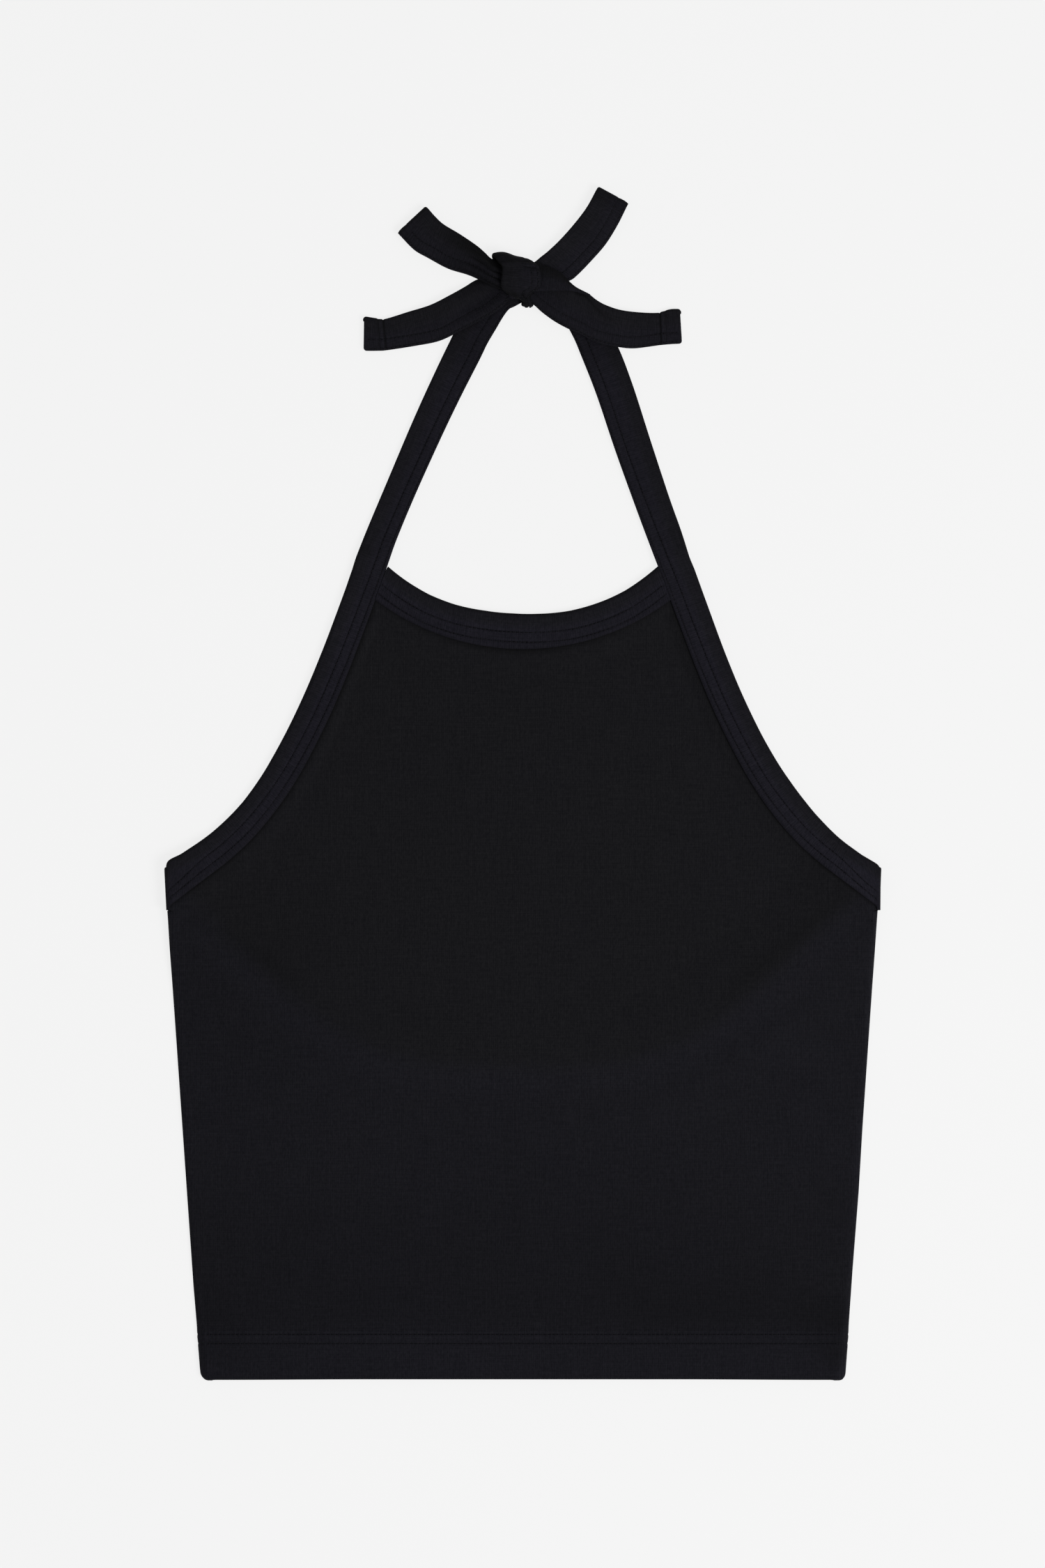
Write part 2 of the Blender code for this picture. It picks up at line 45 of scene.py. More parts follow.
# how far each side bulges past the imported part's, by height
EASE = {-1: ((1, -0.8), (3, -0.2), (6, 0), (25, 0.1), (50, 0.5), (230, 0.55), (245, 0.35)),
        1: ((0, 0), (60, 0.05), (100, 0.4), (135, 0.05), (230, 0), (245, -0.1))}
PIT_HALF = 190.0
PIT_LOW = 249.5
# how the neckline's edge wanders: distance across, upwards
NECK_EASE = ((-72, -0.3), (-63, -0.7), (-50, -1), (-36, -0.65), (-20, 0.2), (-5, 0.42),
             (8, 0.05), (25, -0.85), (45, -1.25), (55, -1.25), (63, -0.75), (72, -0.2))
# where each side's folded end stands, by height
SIDE_X = {"left": ((250, 189.1), (270, 190.1)), "right": ((250, 189.6), (262, 189.7), (272, 190.1))}
# how each armhole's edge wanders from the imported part's: height, distance to the viewer's right
ARM_EASE = {
    "left": ((274, -0.7), (278, -1), (285, -0.5), (291, 0.1), (307, 0.8), (330, 0.2),
             (365, 0.15), (395, 0.35), (420, 0.38), (436, 0.1), (450, 0)),
    "right": ((274, -0.3), (279, -1.5), (287, -0.8), (297, 0.2), (307, 0.65), (318, 0.75),
              (340, 0.22), (385, 0.1), (410, 0.3), (436, 0.35), (450, 0)),
}
BACK_SIDE = 186.8
BINDING = 17.3
NECK_BINDING = 18.5
NECK_RADIUS = 112.8
NECK_LOW = 406.4
NECK_HALF_ANGLE = 39.5
NECK_HALF_ANGLE_LOW = 36.7
RAW_EDGE = 1.4
STRAP_CORNER = (85.6, 434.6)    # the front's own corner, inside the bindings
SIDE_IN = 3.0           # where the front starts to roll round its side
SIDE_ROLL = 2.0
FOLD_IN = 1.8           # a strap's face stops this far inside its folded end
FOLD_SQUEEZE = 2.2      # over which it is drawn in there
FOLD_OUT, FOLD_DOWN = 0.8, 1.2  # how it rolls over that end
STRAP_SLOT = 0.2
STRAP_STEP = 0.78       # between the points along a strap
TAPE = 2.2
BOUND = 2 * WALL + 2 * GAP + WALL
SLOT = WALL + 2 * GAP
LIFT_OVER_BACK = WALL + GAP
LIFT_OVER_BINDING = BOUND + GAP
CREST_LOW = BINDING + 3.5
CREST_HIGH = -5.0
RAMP_LOW = 28.0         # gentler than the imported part's, as the thin cloth drapes
RAMP_HIGH = 30.0
SINK = 15.0
CURL_TOP = 249.2
FAN = 26.0

# armhole's outer edge, side to strap: x, y
ARMHOLE = [
    (190, 272.5), (178.3, 280.6), (165.5, 290.4), (152.4, 303.4), (139, 321), (127.7, 340.4), (116.9, 362.6),
    (107.7, 384.8), (99.3, 407), (91.2, 429.2), (86, 443.6),
]
# back's top edge, centre to side: x, y
SCOOP = [
    (0, 167), (30, 168), (62, 172.5), (93, 185), (118, 203), (140, 223), (160, 242), (188.5, 270.5),
]
# straps' centrelines from above the neckline to the knot: x, y, width
STRAP = {
    "left": [(80, 435.1, 17.2), (74.6, 449.5, 16.6), (64.5, 473.6, 16.5), (51.55, 503.2, 17.3),
             (41.25, 525.4, 17.9), (31.2, 545.8, 18.5), (26.6, 554.6, 18), (19, 564.2, 15),
             (10.6, 571.2, 8.8), (6, 573.6, 8.2), (0.5, 576, 7.2)],
    "right": [(79.8, 435.1, 17.5), (75.25, 448.2, 18.3), (68.7, 466.2, 18.6), (58.5, 495.8, 19.5),
              (48.75, 525.4, 19.9), (40.75, 545.8, 19.8), (33.6, 558.6, 17), (23.4, 569.4, 11.5),
              (10.6, 576.6, 7.6)],
}

# ---- sewing and finish -------------------------------------------------------------------
STITCH = 2.3            # a stitch and its gap
TWIN = 4.9              # between an armhole's twin rows
THREAD_RADIUS = 0.24
HOLE_SHADOW = (0.50, 0.42)     # the painted shadow of a needle hole: its half length and half width
WALE, COURSE = 1.11, 0.95       # the knit's ribs and rows
GROOVE = 0.22           # how deep a row pulls the cloth in
ROW_RISE = 0.05         # how far its thread stands off the cloth
ARM_ROWS = (1.1, 5.9)   # from a strap's or a tape's sewn edge
# a strap's first row from its sewn edge, by height
ARM_ROW_AT = ((255, 4.7), (290, 3.9), (412, 2.1), (455, 1.4), (480, 1.1))
NECK_ROWS = (9.95, 15.1)        # from the neckline
HEM_ROWS = (24.4, 19.6)         # above the hem's edge
TAPE_HEM = 11.0         # from a tape's end to the line of its hem
TAPE_HEM_END = 12.3     # from where its points are closer

# soft troughs and ridges of the front: x, y at one end, x, y at the other, half width, height
FRONT_CREASES = [
    (-103, 33, -11, 84, 13, -0.45), (-118, 52, -38, 96, 10, 0.32), (138, 20, 168, 58, 11, -0.40),
    (120, 30, 150, 74, 9, 0.25), (-168, 236, -96, 190, 12, 0.35), (-164, 222, -100, 168, 9, -0.30),
    (168, 234, 104, 184, 12, 0.33), (160, 216, 92, 170, 9, -0.28), (-58, 392, -40, 300, 14, 0.28),
    (46, 396, 62, 310, 13, 0.26), (20, 150, 84, 96, 16, -0.30), (-20, 260, 60, 246, 18, 0.22),
]

# painted shade and light along the front's creases and drape: x, y at one end, x, y at the other, half
# width, amount
FRONT_SHADES = [
    (-186, 264, -110, 179, 9, -0.22), (-132, 206, -42, 164, 7, -0.09), (-160, 24, -80, 116, 11, -0.05),
    (-10, 150, -8, 60, 7, -0.05), (40, 44, 176, 26, 24, -0.13), (-165, 150, -66, 160, 26, 0.04),
    (-60, 70, -20, 130, 16, 0.05), (60, 150, 110, 110, 26, 0.04), (140, 72, 170, 52, 9, 0.06),
    (-172, 60, -160, 4, 16, -0.10), (172, 50, 168, -10, 13, -0.14), (98, 187, 190, 273, 10, -0.20),
    (-2, 140, 6, 76, 12, -0.04), (-140, 14, 10, 12, 16, 0.06), (120, 200, 184, 150, 26, 0.05),
]
# and painted shade and light in round patches: x, y, radius, amount
FRONT_PATCHES = [
    (156, 34, 24, -0.15), (53, 53, 24, -0.06), (-90, 43, 20, -0.05), (-153, 22, 20, -0.10),
    (-158, 80, 26, -0.04), (164, 101, 24, -0.05), (180, 207, 15, -0.09), (-163, 207, 15, -0.05),
    (-179, 246, 15, -0.13), (138, 249, 16, 0.05), (-120, 236, 50, -0.07), (176, 244, 20, -0.10),
    (168, 24, 20, -0.10), (-60, 24, 60, 0.02), (60, 60, 60, -0.03), (-60, 150, 50, 0.03),
    (150, 160, 40, 0.03), (0, 375, 40, -0.04), (50, 300, 60, 0.03), (-55, 330, 60, -0.03),
    (-90, 128, 60, 0.045), (-155, 12, 16, -0.06), (163, 16, 18, -0.14), (167, 13, 13, -0.16),
    (-20, 14, 60, 0.03), (107, 216, 16, 0.05),
]

# bands of painted light and shade along the hem: height, half width, amount
HEM_SHADES = [(125, 55, 0.03), (26.6, 2.4, 0.05), (25.4, 1.4, 0.14), (23.2, 1.3, 0.08),
              (20.2, 1.4, -0.06)]
# how much lighter the front is painted above the scoop, darker where negative: distance across, amount
OVER_SCOOP = ((-175, -0.10), (-120, -0.05), (-60, 0.02), (0, 0.08), (100, 0.06), (170, -0.05))
# the heights of the rows of points in a hem
FRONT_HEM = [0, 0.4, 0.9, 1.6, 2.5, 3.5, 6, 9, 12, 15, 17, 18, 18.7, 19.2, 19.6, 20.0, 20.5, 21.2, 22, 22.8,
             23.5, 24.0, 24.4, 24.8, 25.3, 26.2, 28, 31]
BACK_HEM = [0, 0.4, 0.9, 1.6, 2.5, 3.5, 6, 10, 14, 17, 18, 18.7, 19.2, 19.6, 20.0, 20.5, 21.2, 22, 23, 23.8,
            24.4, 25, 26.2, 28, 31]

# noise over the knit, in cycles a millimetre across and along: scale, detail, share of the colour
# and of the height
PATTERNS = {
    "slub": ((0.07, 1.5, 1.0), 3.0, 1.05, 0.9),
    "streak": ((1.3, 0.06, 1.0), 2.0, 1.10, 0.0),
    "fuzz": ((1.9, 0.55, 1.0), 3.0, 1.80, 1.2),
    "fleck": ((0.85, 0.42, 1.0), 2.0, 1.30, 1.2),
}
WALE_SHARE = (0.28, 0.25)       # of the colour, as painted shade in the grooves between ribs, and of the height
COURSE_SHARE = 0.08             # of the height
WOBBLE_SCALE, WOBBLE = 0.35, 0.30
CLOUD_SCALE, CLOUD, TONE = 0.012, 0.5, 0.75
ROUGH, ROUGHER = 0.78, 0.16     # and how much the fuzz adds
KNIT_MIDDLE = 0.285     # of the way from the dark colour to the light one, where the patterns are even

# light: the floor's own colour and glow, the sky, and soft lamps as place, size and power
FLOOR_EDGE, FLOOR_LOW = 3.0, -0.0006
FLOOR_GREY = 0.10
FLOOR_GLOW = 0.808
SKY = 0.50
LAMPS = [("key", (1.5, -0.8, 1.9), 1.1, 43.5)]


# ---- curves and the lie of the layers ----------------------------------------------------
def smooth(t):
    t = np.clip(t, 0.0, 1.0)
    return t * t * (3.0 - 2.0 * t)


def rise(x, start, over):
    """0 up to a start, then softly up to 1 over some distance."""
    return smooth((x - start) / over)


def fall(x, start, over):
    return 1.0 - rise(x, start, over)


def bump(x, centre=0.0, half=1.0):
    """1 at a centre, falling softly to 0 on both sides of it."""
    return 1.0 - smooth(np.abs(x - centre) / half)


def through(points, steps=16):
    p = np.array(points, float)
    p = np.vstack([2 * p[0] - p[1], p, 2 * p[-1] - p[-2]])
    t = np.linspace(0, 1, steps, endpoint=False)[:, None]
    runs = []
    for a, b, c, d in zip(p[:-3], p[1:-2], p[2:-1], p[3:]):
        runs.append(0.5 * (2 * b + (c - a) * t + (2 * a - 5 * b + 4 * c - d) * t ** 2
                           + (3 * b - a - 3 * c + d) * t ** 3))
    return np.vstack(runs + [p[-2:-1]])


def norm(v):
    return np.linalg.norm(v, axis=-1)


def unit(v):
    return v / norm(v)[..., None]


def run_of(points):
    return np.concatenate([[0], np.cumsum(norm(np.diff(points, axis=0)))])


def at_runs(at, run, values):
    """Values that change along a line, at some lengths of its run."""
    return np.stack([np.interp(at, run, column) for column in values.T], axis=-1)


def at_lengths(curve, lengths):
    return at_runs(lengths, run_of(curve[:, :2]), curve)


def ways(points):
    """Unit directions along a line of points, steadied over its neighbours."""
    return unit(np.gradient(points, axis=0))


def aside(way):
    """A quarter turn to the left of each direction."""
    return np.stack([-way[:, 1], way[:, 0]], axis=1)


def both_sides(half):
    """A half from the middle outwards, with its mirror image before it."""
    mirrored = half[..., ::-1, :].copy()
    mirrored[..., 0] *= -1
    return np.concatenate([mirrored, half[..., 1:, :]], axis=-2)


SCOOP_CURVE = through(SCOOP)
ARMHOLE_CURVE = through(ARMHOLE)


def below_scoop(x, y):
    """Distance below the back's top edge, negative above it."""
    a, b = SCOOP_CURVE[:-1], SCOOP_CURVE[1:]
    d = b - a
    q = np.stack([np.abs(x), y], axis=-1)[..., None, :]
    t = np.clip(((q - a) * d).sum(-1) / (d * d).sum(-1), 0, 1)
    away = q - (a + d * t[..., None])
    far = norm(away)
    k = far.argmin(-1)[..., None]
    rel = np.take_along_axis(q - a, k[..., None], -2)[..., 0, :]
    side = d[k[..., 0]][..., 0] * rel[..., 1] - d[k[..., 0]][..., 1] * rel[..., 0]
    least = np.take_along_axis(far, k, -1)[..., 0]
    return np.where(side > 0, -least, least)


def hem_share(y):
    return fall(y, HEM_DEPTH, 3.0)


def front_lift(x, y):
    """Height of what the front lies on."""
    d = below_scoop(x, y)
    above = LIFT_OVER_BINDING * (1.0 - smooth((CREST_HIGH - d) / RAMP_HIGH))
    over_back = LIFT_OVER_BACK + (HEM_WALL - WALL) * hem_share(y)
    below = over_back + (LIFT_OVER_BINDING - over_back) * fall(d, CREST_LOW, RAMP_LOW)
    return np.where(d < CREST_HIGH, above, below)


def hem_edge(x, y):
    """How far the hem's edge stands above its line, most in the middle."""
    return (0.52 - 0.30 * rise(np.abs(x), 80.0, 80.0)) * fall(y, 0.0, HEM_RISE_TOP)


def flat(x, y):
    return np.zeros(np.shape(x))


def rounded(away, radius):
    """How far a round corner draws an edge in, by the distance from its end."""
    return radius - np.sqrt(np.maximum(radius ** 2 - (radius - np.clip(away, 0, radius)) ** 2, 0))


def half_width(y):
    y = np.asarray(y, float)
    straight = HEM_HALF + (SIDE_TOP_HALF - HEM_HALF) * np.minimum(y, SIDE_TOP + 5.0) / SIDE_TOP
    return straight - rounded(y, HEM_CORNER)


def creases(x, y, table):
    """Uneven soft folds, or streaks of painted shade and light along them, each fading at its ends and
    wandering a little from its line.
    """
    z = np.zeros(np.shape(x))
    for x0, y0, x1, y1, half, height in table:
        along = np.array([x1 - x0, y1 - y0])
        length = np.hypot(*along)
        along = along / length
        t = ((x - x0) * along[0] + (y - y0) * along[1]) / length
        bow = 0.05 * length * np.sin(math.pi * t + x0) + 1.2 * np.sin(7.0 * t + y0)
        off = (x - x0) * -along[1] + (y - y0) * along[0] + bow
        reach = half * (0.75 + 0.35 * np.sin(3.0 * t + x1) ** 2)
        fade = smooth(t / 0.3) * smooth((1.0 - t) / 0.45)
        z += height * fade * bump(off / reach)
    return z


# ---- meshes ------------------------------------------------------------------------------
def place(name, data):
    thing = bpy.data.objects.new(name, data)
    bpy.context.scene.collection.objects.link(thing)
    return thing


def add_mesh(name, verts, faces, material, weave=None, tone=None, shade=None, sharp=50.0):
    mesh = bpy.data.meshes.new(name)
    placed = (np.asarray(verts, float) - (0.0, LENGTH / 2, 0.0)) * MM
    mesh.from_pydata(placed.tolist(), [], faces if isinstance(faces, list) else faces.tolist())
    if weave is not None:
        layer = mesh.attributes.new("weave", "FLOAT_VECTOR", "POINT")
        layer.data.foreach_set("vector", np.asarray(weave, np.float32).ravel())
    for key, values in (("tone", tone), ("shade", shade)):
        if values is not None:
            layer = mesh.attributes.new(key, "FLOAT", "POINT")
            layer.data.foreach_set("value", np.asarray(values, np.float32).ravel())
    mesh.materials.append(material)
    mesh.shade_smooth()
    mesh.set_sharp_from_angle(angle=math.radians(sharp))
    mesh.validate()
    thing = place(name, mesh)
    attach(thing, "root")
    return thing


def normals_of(grid):
    n = np.cross(np.gradient(grid, axis=1), np.gradient(grid, axis=0))
    return n / np.maximum(norm(n), 1e-9)[..., None]


def cells(rows, cols, keep=None):
    index = np.arange(rows * cols).reshape(rows, cols)
    quads = np.stack([index[:-1, :-1], index[:-1, 1:], index[1:, 1:], index[1:, :-1]], axis=-1)
    return quads[keep] if keep is not None else quads.reshape(-1, 4)


def rim_of(quads):
    """The directed edges that only one quad has."""
    edges = np.concatenate([quads[:, [k, (k + 1) % 4]] for k in range(4)])
    big = int(quads.max()) + 1
    key = edges[:, 0] * big + edges[:, 1]
    back = edges[:, 1] * big + edges[:, 0]
    return edges[~np.isin(key, back)]


def cloth(name, inner, wall, out, material, weave, tone=0.5, keep=None, shade=1.0, depth=0.55):
    """A closed wall of cloth: its inner face, and its outer face the wall's depth further out.

    Painted shade goes with each point: it darkens steep places and the grooves of the sewing, faces turned
    towards the bow as if lit from the hem's side, and the whole inner face.
    """
    rows, cols = inner.shape[:2]
    outer = inner + out * normals_of(inner) * np.broadcast_to(wall, (rows, cols))[..., None]
    quads = cells(rows, cols, keep)
    rim = rim_of(quads)
    count = rows * cols
    sides = np.stack([rim[:, 1], rim[:, 0], rim[:, 0] + count, rim[:, 1] + count], axis=1)
    faces = np.vstack([quads, quads[:, ::-1] + count, sides])
    if out < 0:
        faces = faces[:, ::-1]
    verts = np.vstack([outer.reshape(-1, 3), inner.reshape(-1, 3)])
    weave = np.tile(np.broadcast_to(weave, (rows, cols, 3)).reshape(-1, 3), (2, 1))
    tone = np.tile(np.broadcast_to(tone, (rows, cols)).ravel(), 2)
    steep = np.hypot(*np.moveaxis(normals_of(outer), -1, 0)[:2])
    # painted shade: steep places darker, as much as depth says
    shade = shade * (1.0 - depth * rise(steep, 0.25, 0.75))
    # painted shade: faces turned towards the bow darker, as if lit from the hem's side
    if depth:
        shade = shade * (1.0 - 0.30 * np.clip(out * normals_of(outer)[..., 1], 0, 1))
    # the inner face is painted in shade
    shade = np.concatenate([shade.ravel(), np.full(rows * cols, 0.35)])
    used = np.unique(faces)
    renumber = np.zeros(len(verts), int)
    renumber[used] = np.arange(len(used))
    thing = add_mesh(name, verts[used], renumber[faces], material, weave[used], tone[used], shade[used])
    return thing, outer


def stitch_shape():
    """One stitch and the painted shadow of the needle hole after it: points along, aside and up, faces and
    their finish.
    """
    angles = np.arange(6) * math.pi / 3
    points, faces = [], []
    for at, radius, high in ((-0.72, 0.08, -0.20), (-0.42, THREAD_RADIUS, 0.06),
                             (0.42, THREAD_RADIUS, 0.06), (0.72, 0.08, -0.20)):
        points += [(at, radius * math.cos(a), high + radius * math.sin(a)) for a in angles]
    for ring in range(3):
        for k in range(6):
            a, b = ring * 6 + k, ring * 6 + (k + 1) % 6
            faces.append([a, b, b + 6, a + 6])
    faces += [[5, 4, 3, 2, 1, 0], list(range(18, 24))]
    thread_faces = len(faces)
    # a dark disc after each stitch: the painted shadow of its needle hole
    points += [(STITCH / 2 + HOLE_SHADOW[0] * math.cos(a), HOLE_SHADOW[1] * math.sin(a), -0.03) for a in angles]
    points += [(STITCH / 2, 0.0, 0.05), (STITCH / 2, 0.0, -0.15)]
    for k in range(6):
        a, b = 24 + k, 24 + (k + 1) % 6
        faces += [[a, b, 30], [b, a, 31]]
    finish = [0] * thread_faces + [1] * (len(faces) - thread_faces)
    return np.array(points), faces, finish


def stitches(name, rows, materials):
    """Rows of thread stitches, each with the painted shadow of its needle hole. Each row is its points and
    the cloth's normals there.
    """
    shape, shape_faces, shape_finish = stitch_shape()
    verts, faces, finish = [], [], []
    for points, up in rows:
        run = run_of(points)
        at = np.arange(STITCH * 0.6, run[-1] - STITCH, STITCH)
        at = at + RNG.normal(0, 0.06, len(at))
        for s in at:
            centre, ahead, behind, normal = (
                at_runs(q, run, line)
                for q, line in ((s, points), (s + 0.6, points), (s - 0.6, points), (s, up)))
            way = unit(ahead - behind)
            normal = unit(normal - way * (normal @ way))
            turn = np.stack([way, np.cross(normal, way), normal])
            base = len(verts) * len(shape)
            verts.append(centre + (shape * (1, RNG.uniform(0.85, 1.1), 1)) @ turn)
            faces += [[base + v for v in face] for face in shape_faces]
            finish += shape_finish
    thing = add_mesh(name, np.vstack(verts), faces, materials[0], sharp=70.0)
    thing.data.materials.append(materials[1])
    thing.data.polygons.foreach_set("material_index", finish)
    return thing


# ---- finishes ----------------------------------------------------------------------------
def node(tree, kind, inputs=(), **settings):
    made = tree.nodes.new(kind)
    for key, value in settings.items():
        setattr(made, key, value)
    for key, value in dict(inputs).items():
        if isinstance(value, bpy.types.NodeSocket):
            tree.links.new(value, made.inputs[key])
        else:
            made.inputs[key].default_value = value
    return made


def math_node(tree, operation, a, b=0.5):
    return node(tree, "ShaderNodeMath", {0: a, 1: b}, operation=operation).outputs[0]


def mix(tree, factor, a, b, blend="MIX"):
    return node(tree, "ShaderNodeMix", {"Factor": factor, "A": a, "B": b}, data_type="RGBA",
                blend_type=blend).outputs["Result"]


def bumped(tree, shader, height, distance, strength):
    relief = node(tree, "ShaderNodeBump", {"Height": height, "Distance": distance, "Strength": strength})
    tree.links.new(relief.outputs["Normal"], shader.inputs["Normal"])


def new_material(name):
    material = bpy.data.materials.new(name)
    material.use_nodes = True
    return material, material.node_tree, material.node_tree.nodes["Principled BSDF"]


def noise(tree, at, scale, detail):
    """Noise at one scale, or at three that stretch it."""
    if isinstance(scale, tuple):
        at = node(tree, "ShaderNodeMapping", {"Vector": at, "Scale": scale}).outputs[0]
        scale = 1.0
    return node(tree, "ShaderNodeTexNoise", {"Vector": at, "Scale": scale, "Detail": detail}).outputs["Fac"]


def attribute(tree, name, output="Fac"):
    return node(tree, "ShaderNodeAttribute", attribute_name=name).outputs[output]


def jersey(name, dark, light, warm):
    """Black rib jersey: wales and courses, slubs, flecks, and a soft cloudy tint."""
    material, tree, shader = new_material(name)

    def scaled(value, share):
        return math_node(tree, "MULTIPLY", value, share)

    def add(a, b):
        return math_node(tree, "ADD", a, b)

    weave = attribute(tree, "weave", "Vector")
    split = node(tree, "ShaderNodeSeparateXYZ", {0: weave})
    across = add(split.outputs["X"], scaled(noise(tree, weave, WOBBLE_SCALE, 2.0), WOBBLE))
    wale = math_node(tree, "ABSOLUTE", math_node(tree, "SINE", scaled(across, math.pi / WALE)))
    course = math_node(tree, "SINE", scaled(split.outputs["Y"], 2 * math.pi / COURSE))
    # the wales darken the colour in the grooves between ribs: painted shade
    lit = scaled(wale, WALE_SHARE[0])
    height = add(scaled(wale, WALE_SHARE[1]), scaled(course, COURSE_SHARE))
    for pattern, (scale, detail, colour_share, height_share) in PATTERNS.items():
        value = noise(tree, weave, scale, detail)
        lit = add(lit, scaled(math_node(tree, "SUBTRACT", value, 0.5), colour_share))
        height = add(height, scaled(value, height_share))
        if pattern == "fuzz":
            tree.links.new(add(scaled(value, ROUGHER), ROUGH), shader.inputs["Roughness"])
    lit = add(lit, KNIT_MIDDLE)
    knit = mix(tree, lit, (*dark, 1), (*light, 1))
    tint = add(scaled(noise(tree, weave, CLOUD_SCALE, 3.0), CLOUD), scaled(attribute(tree, "tone"), TONE))
    tinted = mix(tree, tint, knit, (*warm, 1), "MULTIPLY")
    # the painted shade and light that each point carries darken and lighten the colour
    tree.links.new(mix(tree, 1.0, tinted, attribute(tree, "shade"), "MULTIPLY"), shader.inputs["Base Color"])
    bumped(tree, shader, height, 0.00016, 0.8)
    shader.inputs["Specular IOR Level"].default_value = 0.10
    shader.inputs["Sheen Weight"].default_value = 0.012
    shader.inputs["Sheen Roughness"].default_value = 0.45
    return material


def fibres(name, low, high, scale, rough, shine):
    """A finish mottled between two colours by the twist of its fibres, and that twist."""
    material, tree, shader = new_material(name)
    twist = noise(tree, node(tree, "ShaderNodeTexCoord").outputs["Object"], scale, 2.0)
    tree.links.new(mix(tree, twist, (*low, 1), (*high, 1)), shader.inputs["Base Color"])
    shader.inputs["Roughness"].default_value = rough
    shader.inputs["Specular IOR Level"].default_value = shine
    return material, tree, shader, twist


def thread(name, low, high):
    material, tree, shader, twist = fibres(name, low, high, 2400.0, 0.5, 0.06)
    bumped(tree, shader, twist, 0.00008, 0.7)
    return material


def needle_hole_shadow(name, low, high):
    """Painted shadow where the thread goes down: a dark disc with the odd fibre across it."""
    return fibres(name, low, high, 1800.0, 1.0, 0.0)[0]


# ---- bound edges -------------------------------------------------------------------------
def edge_and_way(curve, lengths):
    """Points along a curve, and its directions there over 5 mm."""
    along = at_lengths(curve, lengths + 2.5) - at_lengths(curve, np.maximum(lengths - 2.5, 0))
    return at_lengths(curve, lengths), unit(along)


def armhole_sections(lengths):
    outer, along = edge_and_way(ARMHOLE_CURVE, lengths)
    square = outer + BINDING * aside(along)
    upright = np.array([PIT_HALF, PIT_LOW])
    return outer, upright + (square - upright) * smooth(lengths / FAN)[:, None]


def scoop_sections(spacing, low=PIT_LOW):
    whole = run_of(SCOOP_CURVE)[-1]
    lengths = np.linspace(0, whole, int(whole / spacing) + 1)
    outer, along = edge_and_way(SCOOP_CURVE, lengths)
    along[0] = (1.0, 0.0)
    square = outer - BINDING * aside(along)
    u = np.clip((lengths - (whole - FAN)) / FAN, 0, 1)[:, None]
    turning = at_runs(whole - FAN, lengths, square)
    upright = np.array([SCOOP[-1][0], low])
    return outer, np.where(u > 0, turning + (upright - turning) * u, square), lengths


def neck_sections(v):
    centre = NECK_LOW + NECK_RADIUS
    high, low = np.radians(NECK_HALF_ANGLE) * v, np.radians(NECK_HALF_ANGLE_LOW) * v
    deep = NECK_RADIUS + NECK_BINDING
    return (np.stack([NECK_RADIUS * np.sin(high), centre - NECK_RADIUS * np.cos(high)], axis=1),
            np.stack([deep * np.sin(low), centre - deep * np.cos(low)], axis=1))


LEG = 26        # points across a binding's upper leg
UNDER = 12      # across its lower leg
BEND = 7        # round the fold


def folded(outer, inner, lift, slot):
    """Inner face of a strip folded round an edge, one row a section, and each point's distance in."""
    width = norm(inner - outer)[:, None]
    way = (inner - outer) / width
    half = np.broadcast_to(slot, len(outer))[:, None] / 2
    turn = np.linspace(0, math.pi, BEND + 2)[None, 1:-1]
    start = WALL + half
    up = np.linspace(0, 1, LEG)[None]
    down = np.linspace(0, 1, UNDER)[None]
    reach = np.hstack([width + (start - width) * up, WALL + half * (1 - np.sin(turn)),
                       start + (width - start) * down])
    tall = np.hstack([np.broadcast_to(half, (len(outer), LEG)), half * np.cos(turn),
                      np.broadcast_to(-half, (len(outer), UNDER))])
    at = outer[:, None] + way[:, None] * reach[..., None]
    z = lift(at[..., 0], at[..., 1]) + WALL + half + tall
    return np.concatenate([at, z[..., None]], axis=-1), reach, width


def bound_wall(reach, width, lengths, rows):
    """Depth of the binding's wall: soft cut edges, a groove at each row of sewing."""
    wall = np.full(reach.shape, WALL)
    from_cut = width - reach
    wall *= 0.45 + 0.55 * np.sqrt(np.clip(from_cut / 1.3, 0, 1))
    pull = 0.8 + 0.2 * np.cos(2 * math.pi * lengths / STITCH)[:, None]
    for row in rows:
        wall -= GROOVE * pull * bump((from_cut - np.reshape(row, (-1, 1))) / 1.3)
    wall += 0.07 * np.sin(2 * math.pi * lengths / 7.3)[:, None] * bump(from_cut, 9.0, 8.0)
    return wall


def bound_shade(reach, width, rows):
    """Painted shade: darker along the cut edge, towards the fold and in the rows of sewing; painted light
    between the rows and over the sewn half.
    """
    from_cut = width - reach
    shade = 1.0 - 0.22 * bump(from_cut / 1.0)
    shade += 0.19 * rise(reach, 4.0, 4.0) - 0.14 * fall(reach, 0.0, 4.0)
    for row in rows:
        off = from_cut - np.reshape(row, (-1, 1))
        shade = shade - 0.14 * bump(off / 0.8) + 0.07 * bump(np.abs(off), 1.4, 0.9)
    return shade


def bound_tone(reach):
    """Greyer towards the fold, bluer where the layers are sewn."""
    return 0.35 + 0.6 * rise(reach, 5.0, 4.0)


def sewn_row(reach, target, *grids):
    """Some grids' values where the distance in, which falls across a leg, comes to each row's target."""
    k = np.clip((reach > target[:, None]).sum(1), 1, reach.shape[1] - 1)
    i = np.arange(len(reach))
    t = ((reach[i, k - 1] - target) / (reach[i, k - 1] - reach[i, k]))[:, None]
    return [grid[i, k - 1] * (1 - t) + grid[i, k] * t for grid in grids]


